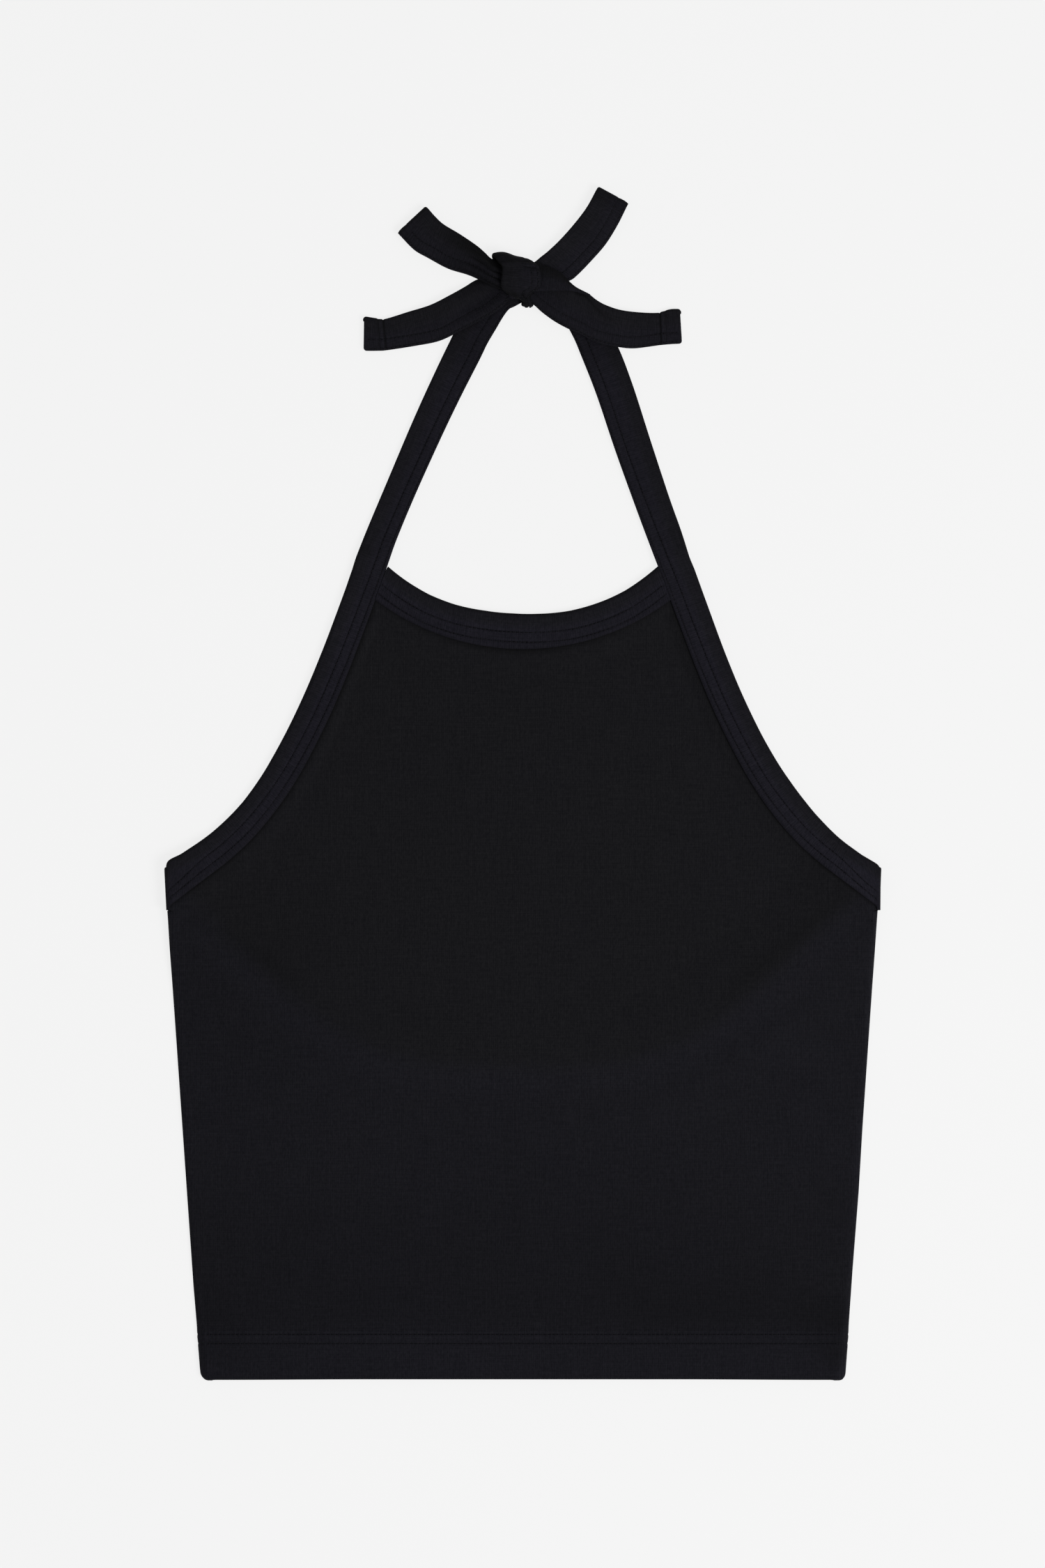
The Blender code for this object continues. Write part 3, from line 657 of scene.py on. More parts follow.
def upper_row(outer, normals, reach, width, row, ends=slice(None)):
    """A row of sewing on a binding's upper leg, a little off its face."""
    points, up = sewn_row(reach[:, :LEG], width[:, 0] - row, outer, normals)
    return (points + up * ROW_RISE)[ends], up[ends]


def weave_at(x, y):
    return np.stack([x, y, np.zeros_like(y)], axis=-1)


def weave_along(lengths, reach):
    """A binding is cut crosswise, so its wales run across it."""
    return weave_at(np.broadcast_to(lengths[:, None], reach.shape), reach)


def keep_piece(thing):
    """Each piece stands for the node of its name, which is hidden."""
    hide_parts(thing.name.replace("_cloth", ""))


def front_grid():
    mitre = neck_sections(np.array([1.0]))[1][0]
    neck_out, neck_in = neck_sections(np.linspace(0, 1, 27)[:-1])
    rim = np.arange(0.0, 182.0, 2.2)
    rim_out, rim_in = armhole_sections(rim)
    held = rim_in[:, 1] < mitre[1] - 1.5
    rim_out, rim_in = rim_out[held][::-1], rim_in[held][::-1]
    outer = np.vstack([neck_out, [STRAP_CORNER], rim_out])
    inner = np.vstack([neck_in, [mitre], rim_in])
    share = np.linspace(0, 1, len(outer))
    top_share = np.minimum(inner[:, 0] / half_width(inner[:, 1]), 1.0)
    hem = np.array(FRONT_HEM)
    columns = []
    for k in range(len(outer)):
        climb = (inner[k, 1] - 0.4 - hem[-1]) * np.linspace(0, 1, 117)[1:]
        y = np.concatenate([hem, hem[-1] + climb, inner[k, 1:]])
        x = (half_width(y) - SIDE_IN) * (share[k] + (top_share[k] - share[k]) * smooth(y / inner[k, 1]))
        x[-1] = inner[k, 0]
        way = outer[k] - inner[k]
        width = norm(way)
        raw = RAW_EDGE + 1.3 if k != len(neck_out) else 0.0
        steps = np.array([0.3, 0.7, 1.0]) * (width - raw) / width
        x = np.concatenate([x, inner[k, 0] + way[0] * steps])
        y = np.concatenate([y, inner[k, 1] + way[1] * steps])
        columns.append(np.stack([np.minimum(x, PIT_HALF - 1.8), y], axis=1))
    grid = np.array(columns).transpose(1, 0, 2)
    return grid, inner


def rolled_side(side, w, y, edge):
    """The points that roll the front's edge round to its underside, for its first or last column."""
    sign = -1 if side == 0 else 1
    ease = np.interp(y, *zip(*EASE[sign]))
    drop = np.minimum(SIDE_ROLL, edge)
    curl = []
    for a in np.linspace(0, math.pi / 2, 7)[1:]:
        out = w - SIDE_IN + (SIDE_ROLL + ease) * math.sin(a)
        curl.append(np.stack([sign * out, y, edge - drop * (1 - math.cos(a))], axis=1))
    for level in (0.5, 0.0):
        out = w - SIDE_IN + SIDE_ROLL + ease
        curl.append(np.stack([sign * out, y, np.maximum(edge - SIDE_ROLL, 0.0) * level], axis=1))
    return np.stack(curl[::-1] if side == 0 else curl, axis=1)


def front_shade(across, y, deep, to_seam, to_side, in_sight):
    """Painted light and shade of the front: over the scoop, along the hem, seams and sides, in patches."""
    shade = 1.0 + 0.17 * rise(deep, -3.0, 7.0) * fall(deep, 7.0, 18.0)
    shade += np.interp(across, *zip(*OVER_SCOOP)) * bump(deep, -18.0, 20.0)
    shade -= 0.06 * rise(np.abs(across), 50.0, 60.0) * bump(deep, -4.0, 8.0)
    shade -= 0.135 * smooth((120.0 - y) / 80.0) * rise(y, 26.5, 7.0)
    shade += 0.045 * fall(y, 25.0, 1.0) - 0.12 * fall(y, 0.0, 3.5)
    for height, half, amount in HEM_SHADES:
        shade += amount * bump(y, height, half)
    shade += creases(across, y, FRONT_SHADES)
    for x0, y0, radius, amount in FRONT_PATCHES:
        shade += amount * bump(np.hypot(across - x0, y - y0) / radius)
    # painted light along the front's rolled sides
    rim = np.where(across > 0, 0.22, 0.10 + 0.14 * rise(y, 180.0, 40.0))
    shade += rim * fall(to_side, 0.0, 6.0)
    # painted shade along the seams under the bindings
    shade -= 0.55 * bump(to_seam / 2.4) * in_sight[:, None] + 0.06 * fall(to_seam, 0.0, 10.0)
    return shade


def hem_lines(grid, normals, y, margin, lift):
    """The rows of sewing along a hem, a little off its face."""
    middle = y[:, y.shape[1] // 2]
    rows = [int(np.argmin(np.abs(middle - row))) for row in HEM_ROWS]
    return [(grid[k, margin:-margin] + (0, 0, lift), normals[k, margin:-margin]) for k in rows]


def front_panel(material):
    grid, inner = front_grid()
    rows = len(grid)
    x, y = np.moveaxis(both_sides(grid), -1, 0)
    top = both_sides(inner)
    reach = np.hypot(x - top[:, 0], y - top[:, 1])
    in_binding = np.arange(rows)[:, None] >= rows - 4
    z = front_lift(x, y) + (WALL + GAP) * np.where(in_binding, 1.0, fall(reach, 0.0, SINK))
    free = rise(reach, 4.0, 26.0) * rise(y, 27.0, 20.0) * ~in_binding
    z = z + np.maximum(creases(x, y, FRONT_CREASES), -0.25) * free
    z += 0.05 * np.sin(x / 9.0 + 2.0 * np.sin(y / 31.0)) * free
    w = half_width(y[:, -1])
    left, right = (rolled_side(side, w, y[:, -1], z[:, side]) for side in (0, -1))
    inner_face = np.concatenate([left, np.stack([x, y, z], axis=-1), right], axis=1)
    curled = left.shape[1]
    yy = inner_face[..., 1].copy()
    inner_face[..., 1] += hem_edge(inner_face[..., 0], yy)
    keep = np.ones((rows - 1, inner_face.shape[1] - 1), bool)
    low_enough = inner_face[1:, curled, 1] <= CURL_TOP
    keep[:, :curled] = low_enough[:, None]
    keep[:, -curled:] = low_enough[:, None]
    wall = np.full(yy.shape, WALL)
    main = np.zeros(yy.shape[1], bool)
    main[curled:-curled] = True
    second = (HEM_WALL - WALL) * fall(yy, HEM_DEPTH + 0.4, 5.0)
    wall += np.where(main, second, second * 0.2)
    for row in HEM_ROWS:
        wall -= GROOVE * 0.7 * bump(yy, row, 0.9)
    wall += 0.08 * bump(yy, 22.6, 1.8) + 0.05 * bump(yy, 17.4, 2.0)
    wall *= np.sqrt(np.clip((yy + 0.12) / 1.0, 0.02, 1.0))
    across = inner_face[..., 0]
    deep = below_scoop(across, yy)
    tone = np.maximum(rise(deep, -6.0, 14.0) * 0.75, hem_share(yy))
    to_seam = np.pad(reach, ((0, 0), (curled, curled)), mode="edge")
    shade = front_shade(across, yy, deep, to_seam, w[:, None] - np.abs(across), np.arange(rows) < rows - 3)
    thing, outer = cloth("front_panel_cloth", inner_face, wall, 1.0, material,
                         weave_at(across, yy), tone, keep, shade, depth=0.0)
    keep_piece(thing)
    return hem_lines(outer, normals_of(inner_face), yy, curled + 1, 0.06)


def back_panel(material):
    outer_edge, inner_edge, _ = scoop_sections(3.0, PIT_LOW - 3.5)
    last = len(outer_edge) - 1
    hem = np.array(BACK_HEM)
    columns = []
    for k in range(last + 1):
        top = inner_edge[k]
        y = np.concatenate([hem, hem[-1] + (top[1] - hem[-1]) * np.linspace(0, 1, 60)[1:]])
        share = k / last + (top[0] / SCOOP[-1][0] - k / last) * smooth(y / top[1])
        x = share * (half_width(y) - 1.9 - 4.2 * np.maximum(0.0, 1.0 - y / HEM_CORNER))
        z = (WALL + GAP) * (1.0 - smooth((top[1] - 6.0 - y) / 6.0))
        shy = (SCOOP[-1][0] - BACK_SIDE) * smooth(1.0 - (last - k) / 9)
        way = outer_edge[k] - top
        width = norm(way)
        steps = np.array([0.0, 0.4, 1.0]) * (width - RAW_EDGE - shy) / width
        x = np.concatenate([x[:-1], top[0] + way[0] * steps - shy])
        y = np.concatenate([y[:-1], top[1] + way[1] * steps])
        z = np.concatenate([z[:-1], np.full(3, WALL + GAP)])
        columns.append(np.stack([x, y, z], axis=1))
    grid = both_sides(np.array(columns).transpose(1, 0, 2))
    yy = grid[..., 1]
    under = np.zeros_like(yy)
    for row in HEM_ROWS:
        under += 0.28 * bump(yy, row, 1.3)
    under += 0.35 * bump(yy / 1.2)
    wall = WALL + (HEM_WALL - WALL) * hem_share(yy) - under
    yy = yy.copy()
    grid = grid + np.stack([np.zeros_like(yy), hem_edge(grid[..., 0], yy), under], axis=-1)
    thing, _ = cloth("back_panel_cloth", grid, wall, 1.0, material,
                     weave_at(grid[..., 0], yy), 0.55)
    keep_piece(thing)
    return hem_lines(grid, np.broadcast_to([0.0, 0.0, -1.0], grid.shape), yy, 3, -0.06)


def neck_binding(material):
    reach_v = 1.0 + 0.1 / (NECK_RADIUS * math.radians(NECK_HALF_ANGLE))
    v = np.linspace(-reach_v, reach_v, 205)
    outer_edge, inner_edge = neck_sections(v)
    outer_edge[:, 1] += np.interp(outer_edge[:, 0], *zip(*NECK_EASE))
    lengths = v * NECK_RADIUS * math.radians(NECK_HALF_ANGLE)
    face, reach, width = folded(outer_edge, inner_edge, flat, SLOT)
    rows = [width[:, 0] - row for row in NECK_ROWS]
    wall = bound_wall(reach, width, lengths, rows)
    upper = np.arange(face.shape[1]) < LEG
    face[..., 2] += 0.12 * np.sin(lengths / 11.0)[:, None] * upper * bump(reach, 8, 9)
    # the binding's painted shade, with painted light along its middle
    thing, outer = cloth("neck_binding_cloth", face, wall, -1.0, material,
                         weave_along(lengths, reach), bound_tone(reach),
                         shade=bound_shade(reach, width, rows) + 0.07 * bump(reach, 9.0, 7.0))
    keep_piece(thing)
    return [upper_row(outer, -normals_of(face), reach, width, row) for row in rows]


def back_binding(material):
    outer_edge, inner_edge, lengths = scoop_sections(1.5)
    outer_edge, inner_edge = both_sides(outer_edge), both_sides(inner_edge)
    lengths = np.concatenate([-lengths[::-1], lengths[1:]])
    face, reach, width = folded(outer_edge, inner_edge, flat, SLOT)
    wall = bound_wall(reach, width, lengths, ARM_ROWS)
    deep = np.zeros_like(reach)
    lower = np.arange(reach.shape[1]) >= LEG + BEND
    for row in ARM_ROWS:
        deep += 0.25 * bump(width - reach, row, 1.3) * lower
    face[..., 2] += deep
    wall = np.where(lower, WALL - deep, wall)
    thing, outer = cloth("back_binding_cloth", face, wall, -1.0, material,
                         weave_along(lengths, reach), 0.8, shade=bound_shade(reach, width, ARM_ROWS))
    keep_piece(thing)
    normals = -normals_of(face)
    lines = []
    for row in ARM_ROWS:
        points, = sewn_row(reach[:, :-UNDER - 1:-1], width[:, 0] - row, outer[:, :-UNDER - 1:-1])
        lines.append((points - (0, 0, ROW_RISE), np.tile([0.0, 0.0, -1.0], (len(points), 1))))
        lines.append(upper_row(outer, normals, reach, width, row))
    return lines


def armhole_strap(side, material):
    sign = -1 if side == "left" else 1
    corner_y = neck_sections(np.array([1.0]))[0][0, 1]
    lengths = np.arange(0.0, 190.0, STRAP_STEP)
    outer_edge, inner_edge = armhole_sections(lengths)
    ease = sign * np.interp(outer_edge[:, 1], *zip(*ARM_EASE[side])) * smooth(lengths / 3.0)
    outer_edge = outer_edge + np.stack([ease, 0 * ease], axis=1)
    if side == "left":
        outer_edge[:, 1] += 1.2 * bump(lengths, 4.0, 9.0) * smooth(lengths / 3.0)
    bound = inner_edge[:, 1] < corner_y - 6.0
    outer_edge, inner_edge, lengths = outer_edge[bound], inner_edge[bound], lengths[bound]
    strap = through(STRAP[side], 24)
    run = run_of(strap[:, :2])
    strap = at_lengths(strap, np.arange(0.0, run[-1], STRAP_STEP))
    way = ways(strap[:, :2])
    half = aside(way) * strap[:, 2:] / 2
    outer_all, inner_all = resample(blend_join(outer_edge, strap[:, :2] - half),
                                    blend_join(inner_edge, strap[:, :2] + half), STRAP_STEP)
    middle = (outer_all + inner_all) / 2
    lengths = run_of(middle)
    y = middle[:, 1]
    slot = STRAP_SLOT + (SLOT - STRAP_SLOT) * fall(y, 436.0, 16.0)
    face, reach, width = folded(outer_all, inner_all, front_lift, slot)
    strap_z = folded(outer_all, inner_all, flat, slot)[0][..., 2]
    on_strap = rise(y, 425.0, 8.0)[:, None]
    face[..., 2] = face[..., 2] * (1 - on_strap) + strap_z * on_strap
    upper = np.arange(face.shape[1]) < LEG
    pucker = 0.10 * np.sin(lengths / 4.1 + 1.7 * np.sin(lengths / 23.0))[:, None] * bump(reach, 7.0, 8.0)
    face[..., 2] += pucker * upper
    first = np.interp(y, *zip(*ARM_ROW_AT))
    sewn = (first, first + TWIN)
    wall = bound_wall(reach, width, lengths, sewn)
    # painted shade and light: darker under the bow's tails, at the pit's corner and at the left strap's kink
    # near the neckline; lighter along the lower middle of the band and near the right pit
    shading = bound_shade(reach, width, sewn) * (1.0 - 0.24 * rise(y, 530.0, 20.0))[:, None]
    shading += 0.13 * bump(reach, 9.0, 7.0) * fall(y, 410.0, 25.0)[:, None]
    shading -= 0.16 * bump(np.hypot(face[..., 0] - 187.0, face[..., 1] - 269.0) / 9.0)
    if side == "right":
        near_pit = bump(y, 274.0, 20.0)[:, None] * (1.0 + rise(reach, 6.0, 4.0))
        shading += 0.16 * near_pit - 0.06 * rise(y, 440.0, 20.0)[:, None]
    else:
        shading += 0.07 * bump(y, 400.0, 36.0)[:, None]
        shading -= 0.22 * bump(np.hypot((face[..., 0] - 83.5) / 5.5, (face[..., 1] - 440.0) / 3.2))
    edge = face[0].copy()
    turned = np.interp(face[..., 1], *zip(*SIDE_X[side])) - FOLD_IN
    room = PIT_HALF - turned + FOLD_SQUEEZE
    near = np.clip((face[..., 0] - turned + FOLD_SQUEEZE) / room, 0, 1)
    squeezed = turned - FOLD_SQUEEZE * (1 - near) ** (room / FOLD_SQUEEZE)
    face[..., 0] = np.where(near > 0, squeezed, face[..., 0])
    turns = np.linspace(0, math.pi / 2, 7)[1:]
    out = [FOLD_OUT * math.sin(a) for a in turns] + [FOLD_OUT] * 3
    high = [edge[:, 2] - FOLD_DOWN * (1 - math.cos(a)) for a in turns]
    high += [(edge[:, 2] - FOLD_DOWN) * level for level in (0.66, 0.33, 0.0)]
    wrap = np.array([np.stack([turned[0] + x, edge[:, 1], z], axis=1) for x, z in zip(out, high)][::-1])
    extra = len(wrap)
    grid = np.concatenate([wrap, face])
    keep = np.ones((len(grid) - 1, grid.shape[1] - 1), bool)
    keep[:extra, LEG + 2:] = False
    walls = np.concatenate([np.full((extra, wall.shape[1]), WALL), wall])
    reach_all, shading = (np.concatenate([np.repeat(values[:1], extra, axis=0), values])
                          for values in (reach, shading))
    runs = np.concatenate([-np.arange(extra, 0, -1) * 1.0, lengths])
    grid = grid * (sign, 1, 1)
    thing, outer = cloth(f"armhole_strap_{side}_cloth", grid, walls, sign * 1.0, material,
                         weave_along(runs, reach_all), bound_tone(reach_all), keep, shading)
    keep_piece(thing)
    normals = sign * normals_of(grid)
    return [upper_row(outer[extra:], normals[extra:], reach, width, row, slice(2, -4)) for row in sewn]


def blend_join(a, b):
    """Two lines of points with a smooth curve over the gap between them."""
    gap = norm(b[0] - a[-1])
    t = np.linspace(0, 1, max(int(gap / 0.8), 3))[1:-1, None]
    va, vb = ways(a[-8:])[-1] * gap, ways(b[:8])[0] * gap
    bridge = ((2 * t ** 3 - 3 * t ** 2 + 1) * a[-1] + (t ** 3 - 2 * t ** 2 + t) * va
              + (-2 * t ** 3 + 3 * t ** 2) * b[0] + (t ** 3 - t ** 2) * vb)
    return np.vstack([a, bridge, b])


def resample(a, b, spacing):
    """Both edges of a strip at even steps along its middle."""
    t = np.linspace(0, 1, min(len(a), len(b)))
    a, b = (at_runs(t, np.linspace(0, 1, len(line)), line) for line in (a, b))
    run = run_of((a + b) / 2)
    at = np.linspace(0, run[-1], int(run[-1] / spacing))
    return at_runs(at, run, a), at_runs(at, run, b)


# ---- the bow -----------------------------------------------------------------------------
# Each row of a tape is its folded edge x, y, z and its sewn edge x, y, z, knot first.
LEFT_LOOP = [
    (-4.6, 593, 5.2, -4.6, 578, 5.4), (-11.4, 593.8, 5.4, -9.1, 578, 6.2),
    (-16.9, 595.1, 5.4, -14.8, 580, 6.6), (-20.9, 598.7, 5.5, -22.4, 583.5, 6.4),
    (-25.1, 602.3, 5.2, -29.4, 586.5, 5.9), (-33.6, 608, 4.5, -39.8, 589.8, 4.8),
    (-42.1, 613.2, 3.9, -50, 595.3, 3.9), (-46.7, 617.5, 3.6, -57.7, 599.8, 3.6),
    (-50, 621.3, 3.6, -65.1, 607.3, 3.6),
]
RIGHT_LOOP = [
    (0.8, 590.6, 3.5, 5.7, 581.9, 3.5), (6.1, 593.2, 3.5, 15.6, 580.4, 3.5),
    (9.3, 595.7, 3.5, 24.8, 583.5, 3.5), (13.4, 599, 3.5, 29, 586.5, 3.5),
    (20, 605.3, 3.5, 36.6, 594.3, 3.5), (27.6, 613.9, 3.5, 44.1, 603, 3.5),
    (33.9, 622.3, 3.5, 50.4, 613.2, 3.5), (38.9, 631.4, 3.5, 55.1, 622.6, 3.5),
]
LEFT_TAIL = [
    (-18.5, 584.5, 1.3, -12.6, 580.5, 1.6), (-19.5, 583.9, 1.3, -9, 577.2, 2.4),
    (-20.8, 583.4, 1.3, -7.3, 574.2, 3.2), (-22.2, 583.8, 1.3, -9.2, 570.9, 3.6),
    (-24.2, 584.1, 1.4, -12.9, 567.9, 3.7), (-27.2, 582.6, 1.7, -17.3, 564.7, 3.7),
    (-30.6, 580.3, 2.3, -25.2, 560.8, 3.7), (-38.4, 575.9, 3.1, -32.4, 557, 3.6),
    (-49, 570.6, 2.3, -44.2, 551.5, 2.4), (-60.8, 567, 1.2, -57.6, 548.8, 1.2),
    (-73.7, 563.1, 1.15, -72, 546.6, 1.15), (-79, 563.5, 1.15, -77.5, 546.3, 1.15),
    (-84.3, 564.4, 1.15, -84.6, 546.3, 1.15),
]
RIGHT_TAIL = [
    (-1, 588, 5.6, 0.5, 573.5, 4.8), (5.7, 588.5, 6, 5.8, 570.4, 4.8), (11, 587.5, 6, 9.4, 567.1, 4.6),
    (17, 585.5, 6, 13.7, 563.8, 4.2), (22.6, 582, 5.9, 18.5, 560.7, 3.8), (28, 578.6, 5, 24.8, 557.4, 3.7),
    (34.1, 576.6, 4.2, 30.5, 554.9, 3.7), (38.7, 573.2, 3.8, 35.7, 552.1, 3.7),
    (43.6, 570.5, 3.7, 41.1, 550.1, 3.7), (51.4, 567.9, 3.4, 49.4, 548.3, 3.4),
    (61.2, 566.7, 2, 59.1, 547.5, 2), (71.9, 566.5, 1.15, 72.4, 549.2, 1.15),
    (78.2, 568.1, 1.15, 78.6, 549.8, 1.15), (83.4, 568.3, 1.15, 84.5, 550.1, 1.15),
]
TAIL_FLAP = [
    (-1, 590.6, 6.8, -0.5, 577.6, 7.4), (5.7, 592.6, 7, 5, 577.3, 8), (11.7, 590.8, 7.2, 11.7, 577.4, 8.3),
    (19.1, 587.8, 7.1, 18.5, 577.6, 8.1), (23.8, 583.2, 7, 24, 577.6, 7.6),
    (28.2, 579.5, 6.6, 28.4, 576.9, 6.8), (35.6, 576, 5.2, 35.4, 575, 5.2),
]
# left edge, right edge: from behind, over the top and down the front
KNOT_BAND = [
    (-13, 591.5, 2, 4, 588, 2), (-16.2, 595.2, 3, 4.8, 591.6, 2.8), (-16.3, 596.5, 5.2, 5.2, 592.8, 4.8),
    (-14.6, 594.6, 8, 6.3, 592, 7.6), (-11.3, 590.8, 9.3, 8.6, 589.6, 9.1),
    (-11, 586.5, 9.6, 9.2, 584.5, 9.5), (-11.6, 582.5, 9.3, 9, 579.8, 9.1), (-11, 579, 8, 5.6, 577.6, 8.2),
    (-5.8, 575.6, 6.6, 3.9, 575.2, 7), (-0.5, 573.4, 5.6, 4, 573, 5.8), (-0.9, 571.2, 4.2, 5.4, 571.2, 4.2),
    (-0.9, 571.8, 2.8, 5.4, 572, 2.8), (-1, 574.4, 2.1, 4, 574.4, 2.1),
]
KNOT_CORE = [
    (-9, 591, 2.2, -9.6, 574.4, 2.2), (-4, 592, 2.6, -4, 573.6, 2.6), (1, 591.6, 1.2, 1, 573.4, 1.2),
    (5.2, 590.4, 1.2, 5.2, 573.6, 1.2),
]
TAPE_LEG = 22           # points across each side of a tape


def tape_frames(rows, spacing=0.8, hem=False):
    """Stations along a tape, closer at a hemmed end: folded edge, sewn edge, way across and up."""
    curve = through(rows, 14)
    run = run_of((curve[:, :3] + curve[:, 3:]) / 2)
    plain = run[-1] - TAPE_HEM_END - 0.3 if hem else run[-1]
    at = np.linspace(0, plain, int(plain / spacing))
    if hem:
        to_end = np.append(np.arange(TAPE_HEM_END, 0.3, -0.35), (0.3, 0.15, 0.0))
        at = np.concatenate([at, run[-1] - to_end])
    fold, sewn = np.split(at_runs(at, run, curve), 2, axis=1)
    across = unit(sewn - fold)
    return fold, sewn, across, outward(ways((fold + sewn) / 2), across), at


def outward(way, across):
    """The side of a tape that shows, upwards where it starts."""
    up = unit(np.cross(way, across))
    return up * np.sign(up[0, 2])


def tape(name, rows, material, relief=None, lit=None, wall=WALL, slot=STRAP_SLOT, hem=False, spacing=0.8,
         rows_at=ARM_ROWS, stations=None, from_behind=False):
    """A strip folded along its length and pressed flat, with its sewn rows sunk in."""
    fold, sewn, across, up, s = stations or tape_frames(rows, spacing, hem)
    if from_behind:
        up = -up
    width = norm(sewn - fold)
    half = slot / 2
    turn = np.linspace(0, math.pi, BEND + 2)[1:-1]
    start = wall + half
    t = np.linspace(0, 1, TAPE_LEG)
    if hem:
        to_end = s[-1] - s
        inset = rounded(to_end, 1.5)
    else:
        inset = np.zeros(len(s))
    reach = np.hstack([width[:, None] - inset[:, None] + (start - width + 2 * inset)[:, None] * t,
                       np.broadcast_to(start - half * np.sin(turn), (len(s), BEND)) + inset[:, None],
                       (start + inset)[:, None] + (width - start - 2 * inset)[:, None] * t])
    tall = np.concatenate([np.full(TAPE_LEG, half), half * np.cos(turn), np.full(TAPE_LEG, -half)])
    share = reach / width[:, None]
    if relief:
        tall = tall + relief(s[:, None], share)
    tall = np.broadcast_to(tall, reach.shape)[..., None]
    face = fold[:, None] + across[:, None] * reach[..., None] + up[:, None] * tall
    thick = np.full(reach.shape, wall)
    from_cut = width[:, None] - inset[:, None] - reach
    thick *= 0.45 + 0.55 * np.sqrt(np.clip(from_cut / 1.2, 0, 1))
    pull = 0.8 + 0.2 * np.cos(2 * math.pi * s / STITCH)[:, None]
    for row in rows_at:
        thick -= GROOVE * wall * pull * bump(from_cut, row, 1.3)
    if hem:
        thick += 0.25 * smooth((TAPE_HEM + 0.2 - to_end) / 0.7)[:, None]
        for line, deep in ((TAPE_HEM, 0.30), (TAPE_HEM - 3.0, 0.12)):
            thick -= deep * bump(to_end, line, 0.9)[:, None]
        thick *= (0.35 + 0.65 * np.sqrt(np.clip(to_end / 0.9, 0, 1)))[:, None]
    # painted light and shade: the piece's own lit pattern, darker at the fold and in the rows of sewing,
    # lighter on the sewn side, and a painted shadow at the hem's lines with a painted highlight between
    shade = np.ones_like(reach) * (lit(s[:, None], share) if lit else 1.0)
    shade -= 0.08 * fall(reach, 0.0, 3.0) + 0.16 * (0.5 - rise(share, 0.2, 0.5))
    for row in rows_at:
        shade -= 0.12 * bump(from_cut, row, 0.8)
    if hem:
        for line, half_line, amount in ((0.0, 0.8, -0.75), (3.0, 0.9, -0.3), (1.2, 0.8, 0.25)):
            shade += amount * bump((to_end - TAPE_HEM + line) / half_line)[:, None]
    out = 1.0 if (normals_of(face)[len(s) // 2, TAPE_LEG // 2] @ up[len(s) // 2]) > 0 else -1.0
    tone = 0.15 + 0.60 * rise(share, 0.25, 0.4)
    thing, outer = cloth(name, face, thick, out, material, weave_along(s, reach), tone,
                         shade=shade)
    leg = reach[:, :TAPE_LEG]
    lines = [(sewn_row(leg, width - inset - row, outer)[0] + up * ROW_RISE, up) for row in rows_at]
    return thing, lines, (width.mean(), s[-1])


def declare(node_names):
    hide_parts(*node_names)


def loop(side, table, material, relief, lit):
    """A tape that runs out from the knot, turns over and comes back below itself."""
    fold, sewn, _, _, _ = tape_frames(table)
    radius = (TAPE + GAP) / 2
    end_way = ways((fold + sewn) / 2)[-1]
    across = unit(sewn[-1] - fold[-1])
    out = unit(end_way - across * (end_way @ across))
    turn = np.radians(np.linspace(80, -80, 13))
    shift = np.array([out * radius * math.cos(a) + (0, 0, radius * (math.sin(a) - 1)) for a in turn])
    fold_all, sewn_all = (np.vstack([edge, edge[-1] + shift, edge[::-1] - (0, 0, 2 * radius)])
                          for edge in (fold, sewn))
    middle = (fold_all + sewn_all) / 2
    s = run_of(middle)
    across = unit(sewn_all - fold_all)
    whole = s[len(fold) - 1]

    def near(along):
        return np.minimum(along, s[-1] - along)

    def both(along, share):
        curl, folds = relief(near(along), share, whole)
        return np.where(along > whole + 2, -curl - 0.3 * folds, curl + folds)

    thing, lines, size = tape(f"loop_{side}_cloth", None, material, both,
                              lambda along, share: lit(near(along), share, whole),
                              stations=(fold_all, sewn_all, across, outward(ways(middle), across), s))
    declare([f"loop_{side}"])
    shown = slice(3, len(fold) + 3)
    return [(points[shown], above[shown]) for points, above in lines]


def left_loop_folds(near, share, whole):
    close = fall(near, 12.0, 28.0)
    curl = -1.9 * close * smooth((0.42 - share) / 0.42) - 0.5 * close * rise(share, 0.85, 0.15)
    run = share + 0.10 * np.sin(near / 14.0)
    pleats = 0.75 * close * np.sin(2 * math.pi * (run - 0.36) / 0.23) * rise(run, 0.30, 0.10)
    slack = 0.28 * np.sin(near / 5.0 + 4 * share) * rise(near, 16.0, 12.0) * smooth((whole - near) / 8.0)
    return curl, pleats + slack


# this and the other *_lit functions paint light and shade into a tape's colour: 1 keeps it, less is painted
# shade, more is painted light
def left_loop_lit(near, share, whole):
    end = rise(near, whole - 12.0, 10.0)
    close = fall(near, 18.0, 30.0)
    upper = fall(near, 26.0, 24.0) * fall(share, 0.20, 0.32)
    lower = fall(near, 20.0, 22.0) * rise(share, 0.55, 0.2)
    return 1.0 - 0.18 * close - 0.50 * upper - 0.20 * lower - 0.10 * end - 0.16 * rise(share, 0.7, 0.3)


def right_loop_lit(near, share, whole):
    end = rise(near, whole - 9.0, 8.0)
    return 1.10 - 0.30 * end + 0.12 * bump(near, 26.0, 16.0) - 0.10 * rise(share, 0.8, 0.2)


def right_loop_folds(near, share, whole):
    return 0.0, 0.22 * np.sin(near / 6.5 + 3.0 * share) * smooth((whole - near) / 8.0)


def tail_lit(s, share):
    return 1.0 - 0.16 * fall(s, 12.0, 22.0) - 0.14 * rise(share, 0.75, 0.25)


